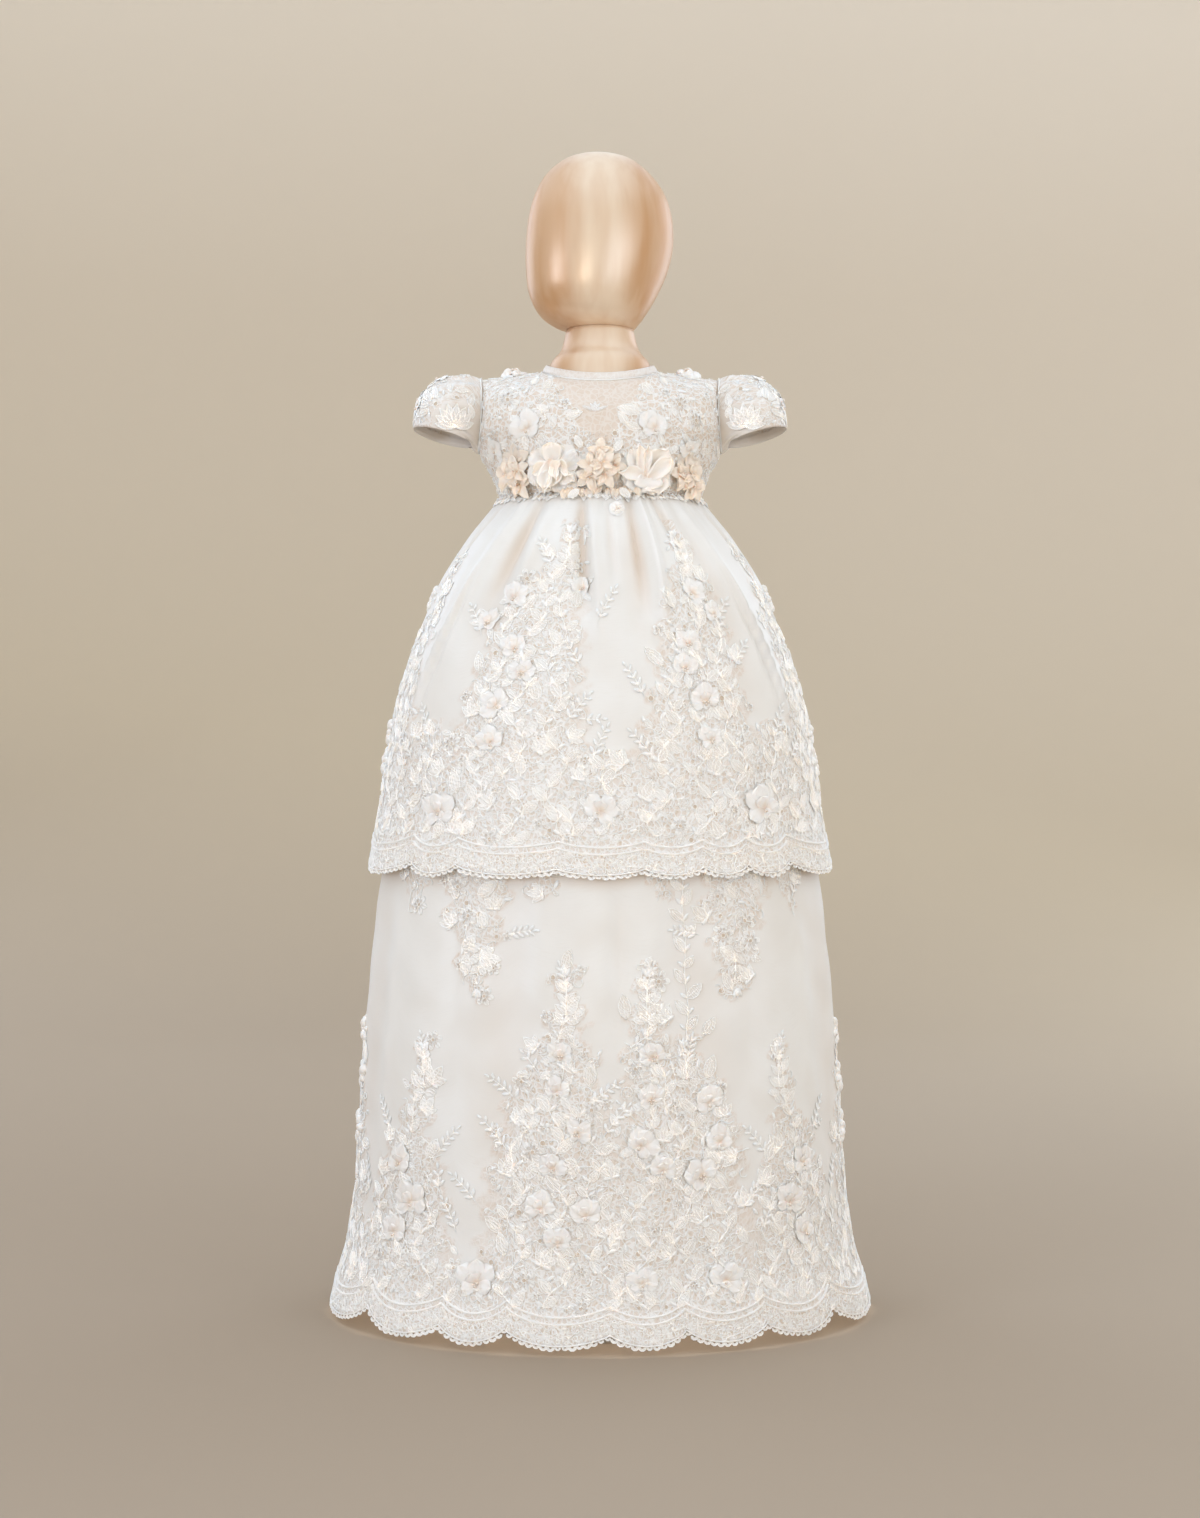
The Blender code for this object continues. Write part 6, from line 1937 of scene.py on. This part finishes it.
def makeGarland():
    front = clothTree([bodicePanels["bodice_front"], skirtPanels["upper", "front"]])
    pieces = [makeRose(name, *row, front) for name, row in garland["roses"].items()]
    pieces += [makeCluster(name, *row, front) for name, row in garland["clusters"].items()]
    seat, bloom = seatOn(front, *garland["pearlFlower"]), garland["waistBloom"]
    pieces.append(makePetalBloom("waist_pearl_flower", seat, bloom, "pearl_flower", "pearl", 3))
    panels = ("bodice_front", "bodice_back_left", "bodice_back_right")
    shoulders = clothTree([bodicePanels[name] for name in panels])
    outward, bloom = Vector(garland["shoulderOut"]).normalized(), garland["shoulderBloom"]
    for side, mirror in (("left", -1), ("right", 1)):
        x, y, z = garland["shoulder"]
        centre = shoulders.ray_cast(Vector((mirror * x, y, z)) + outward * 0.1, -outward)[0]
        seat, name = Seat(shoulders, centre, outward), f"shoulder_flower_{side}"
        pieces.append(makePetalBloom(name + "_petals", seat, bloom, name, "plain_satin", 9 + mirror))
    return pieces


garlandPieces = makeGarland()
print("garland made")


buttons = {
    "heights": (0.704, 0.729, 0.754, 0.779),
    "x": 0.0058,
    "radius": 0.0044,
    "rise": 0.0034,
    "underside": -0.25,
    "off": 0.0011,
}


def makeButtons():
    tree = clothTree([bodicePanels["bodice_back_right"], bodicePanels["bodice_back_left"]])
    made = []
    for number, height in enumerate(buttons["heights"], start=1):
        hit = tree.ray_cast(Vector((buttons["x"], 1, height)), Vector((0, -1, 0)))[0]
        bm = bmesh.new()
        bmesh.ops.create_uvsphere(bm, u_segments=24, v_segments=12, radius=buttons["radius"])
        for vert in bm.verts:
            flat = vert.co.z / buttons["radius"]
            vert.co.z = buttons["rise"] * max(flat, buttons["underside"])
        bmesh.ops.rotate(bm, verts=bm.verts, matrix=Matrix.Rotation(-math.pi / 2, 3, "X"))
        bmesh.ops.translate(bm, verts=bm.verts, vec=hit + Vector((0, buttons["off"], 0)))
        bmesh.ops.remove_doubles(bm, verts=bm.verts, dist=mergeDistance)
        bmesh.ops.recalc_face_normals(bm, faces=bm.faces)
        mesh = meshOf(bm, f"button_cover_{number}", roseMaterial)
        storeDepth(mesh, np.full(len(mesh.vertices), 0.9))
        cover = addPiece(mesh.name, mesh)
        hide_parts(f"back_button_{number}")
        made.append(cover)
    return made


buttonCovers = makeButtons()
# what each panel of the bodice carries, and its flat cut
bodiceCuts = {
    "bodice_front": (garlandPieces, (0.250, 0.120)),
    "bodice_back_left": ([], (0.130, 0.120)),
    "bodice_back_right": (buttonCovers, (0.130, 0.120)),
}
for name, (carried, flat) in bodiceCuts.items():
    panel, trims = bodicePanels[name], bodicePanels[name, "lace"] + carried
    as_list(trims)


form = {
    # height, half width and half depth of each ring
    "torso": (
        (0.5600, 0.0660, 0.0500), (0.5640, 0.0710, 0.0545), (0.6000, 0.0770, 0.0580),
        (0.6500, 0.0785, 0.0580),
    ),
    "neck": ((0.8130, 0.0415, 0.0395), (0.8230, 0.0335, 0.0330), (0.8400, 0.0290, 0.0290)),
    # height, half width from face to back, half depth and shift of each ring of the head
    "head": (
        (0.8403, 0.0285, 0.0285, 0), (0.8440, 0.0370, 0.0340, -0.0050), (0.8530, 0.0470, 0.0410, -0.0080),
        (0.8700, 0.0570, 0.0475, -0.0070), (0.8920, 0.0635, 0.0520, -0.0030), (0.9150, 0.0660, 0.0540, 0),
        (0.9380, 0.0640, 0.0530, 0.0010), (0.9580, 0.0575, 0.0480, 0.0010), (0.9740, 0.0460, 0.0390, 0),
        (0.9860, 0.0300, 0.0260, 0), (0.9915, 0.0100, 0.0090, 0), (0.9920, 0, 0, 0),
    ),
    "headTurn": 30,
    "inset": 0.0027,
    "chestInset": 0.0070,
    "columns": 96,
}


def closedForm(name, grids, join, node):
    # a smooth closed skin through grids of points, joined where they are nearer than the join distance
    bm = bmesh.new()
    for points in grids:
        layGrid(bm, points)
    bmesh.ops.remove_doubles(bm, verts=bm.verts, dist=join)
    bmesh.ops.holes_fill(bm, edges=[edge for edge in bm.edges if edge.is_boundary])
    bmesh.ops.recalc_face_normals(bm, faces=bm.faces)
    obj = addPiece(name, meshOf(bm, name, goldMaterial))
    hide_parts(node)


def makeHead():
    turn = np.linspace(0, 2 * math.pi, form["columns"] + 1)
    head = onCurve(np.array(form["head"], float), np.linspace(0, 1, 70))
    x = head[:, 3, None] + head[:, 1, None] * np.cos(turn)
    y = head[:, 2, None] * np.sin(turn)
    spin = math.radians(form["headTurn"])
    across, back = x * math.cos(spin) - y * math.sin(spin), x * math.sin(spin) + y * math.cos(spin)
    points = np.stack([across, back, np.broadcast_to(head[:, 0, None], x.shape)], axis=-1)
    closedForm("head_cover", [points], 1e-5, "form_head")


def makeTorso():
    # the columns of the front and of the back, and a neck tube that starts on their upper edge
    places, neckPlaces = np.linspace(0, 1, 44), np.linspace(0, 1, 16)
    columns = []
    for side in (-1, 1):
        for angle in np.linspace(-90, 90, form["columns"] // 2 + 1):
            a = math.radians(angle)
            low = [(w * math.sin(a), side * d * math.cos(a), h) for h, w, d in form["torso"]]
            body = bodySection(side, angle, 0, form["inset"], form["chestInset"])
            upper = onCurve(body, np.linspace(0, 1, 10))
            columns.append(onCurve(np.concatenate([low, upper]), places))
    columns = np.array(columns)
    front, back = columns[: len(columns) // 2], columns[len(columns) // 2 :]
    inside = np.abs(np.linspace(-90, 90, len(front))) <= bodice["neckAngle"]
    edge = np.concatenate([front[inside][:, -1], back[inside][::-1][:, -1]])
    angles = np.arctan2(edge[:, 0], -edge[:, 1])
    lift = np.array([0, 0, binding["height"] + binding["lean"]])
    rings = [edge, neckEdge(angles, form["inset"] + binding["lean"]) + lift]
    for height, halfWidth, halfDepth in form["neck"]:
        x, y = halfWidth * np.sin(angles), -halfDepth * np.cos(angles)
        rings.append(np.stack([x, y, np.full(len(angles), height)], axis=-1))
    guide = np.array(rings)
    neck = np.stack([onCurve(guide[:, k], neckPlaces) for k in range(guide.shape[1])], axis=1)
    neck = np.concatenate([neck, neck[:, :1]], axis=1)
    closedForm("torso_cover", [front, back, neck], 2e-5, "form_torso")


makeHead()
makeTorso()
for node in ("stand_pole", "stand_base"):
    obj = bpy.data.objects[node]
    obj.data.materials.clear()
    obj.data.materials.append(paintMaterial)
print("form and stand made")


studio = {
    "radius": 3.6,
    "cove": 1.6,
    "wall": 3.2,
    "camera": (0.0, -1.9, 0.472),
    "lens": 52.39,
    "sensor": 36,
    "aim": (0, 0, 0.47),
    "worldStrength": 1.29,
    "airTint": (0.79, 0.885, 1.0),
    "sideTint": (0.660, 0.820, 1.07),
    "frontTint": (0.90, 0.87, 0.83),
    # place, size, power and tint of each light, all aimed at the middle of the gown
    "lights": (
        ((-2.1, -2.0, 0.70), 1.3, 30, "sideTint"), ((2.2, -2.0, 0.50), 1.8, 28, "sideTint"),
        ((0.1, -2.9, 0.65), 0.5, 9, "frontTint"), ((-1.8, 1.6, 1.4), 1.6, 12, "sideTint"),
        ((1.8, 1.6, 1.2), 1.6, 12, "sideTint"),
    ),
    # the light that comes through thin cloth: x on both sides, height inside the skirt, size and power
    "underSkirt": (0.06, 0.40, 0.12, 0.30),
}


def addLamp(name, place, size, power, colour=(1, 1, 1)):
    light = bpy.data.lights.new(name, "AREA")
    light.energy, light.size, light.color = power, size, colour
    lamp = bpy.data.objects.new(name, light)
    lamp.location = place
    lamp.visible_camera = False
    scene.collection.objects.link(lamp)
    return lamp


def makeBowl():
    # the floor and the wall of the studio as one round bowl
    bm = bmesh.new()
    radius, cove = studio["radius"], studio["cove"]
    profile = [(0.0, 0.0), (radius - cove, 0.0)]
    for a in np.linspace(0, math.pi / 2, 16)[1:]:
        profile.append((radius - cove + cove * math.sin(a), cove - cove * math.cos(a)))
    profile.append((radius, studio["wall"]))
    verts = [bm.verts.new((x, 0, z)) for x, z in profile]
    edges = [bm.edges.new(pair) for pair in zip(verts, verts[1:])]
    spun = {"cent": (0, 0, 0), "axis": (0, 0, 1), "angle": 2 * math.pi, "steps": 96, "use_merge": True}
    bmesh.ops.spin(bm, geom=verts + edges, **spun)
    bmesh.ops.remove_doubles(bm, verts=bm.verts, dist=1e-5)
    bmesh.ops.recalc_face_normals(bm, faces=bm.faces)
    if bm.faces[0].normal.z < 0:
        bmesh.ops.reverse_faces(bm, faces=bm.faces)
    mesh = meshOf(bm, "studio_bowl", makeBackdrop())
    mesh.shade_smooth()
    bowl = bpy.data.objects.new("studio_bowl", mesh)
    scene.collection.objects.link(bowl)


def makeStudio():
    makeBowl()
    for number, (place, size, power, tone) in enumerate(studio["lights"], start=1):
        lamp = addLamp(f"softbox_{number}", place, size, power, studio[tone])
        aim = Vector(studio["aim"]) - Vector(place)
        lamp.rotation_euler = aim.to_track_quat("-Z", "Y").to_euler()
    shift, height, size, power = studio["underSkirt"]
    for number, x in enumerate((-shift, shift), start=1):
        addLamp(f"through_cloth_{number}", (x, 0, height), size, power)
    world = bpy.data.worlds.new("studio_air")
    world.use_nodes = True
    air = world.node_tree.nodes["Background"].inputs
    air["Color"].default_value = (*studio["airTint"], 1)
    air["Strength"].default_value = studio["worldStrength"]
    scene.world = world
    camera = bpy.data.objects.new("camera", bpy.data.cameras.new("camera"))
    camera.data.lens, camera.data.sensor_width = studio["lens"], studio["sensor"]
    camera.location = studio["camera"]
    camera.rotation_euler = (math.pi / 2, 0, 0)
    scene.collection.objects.link(camera)
    scene.camera = camera
    scene.view_settings.view_transform = "Standard"


makeStudio()
print("studio made")
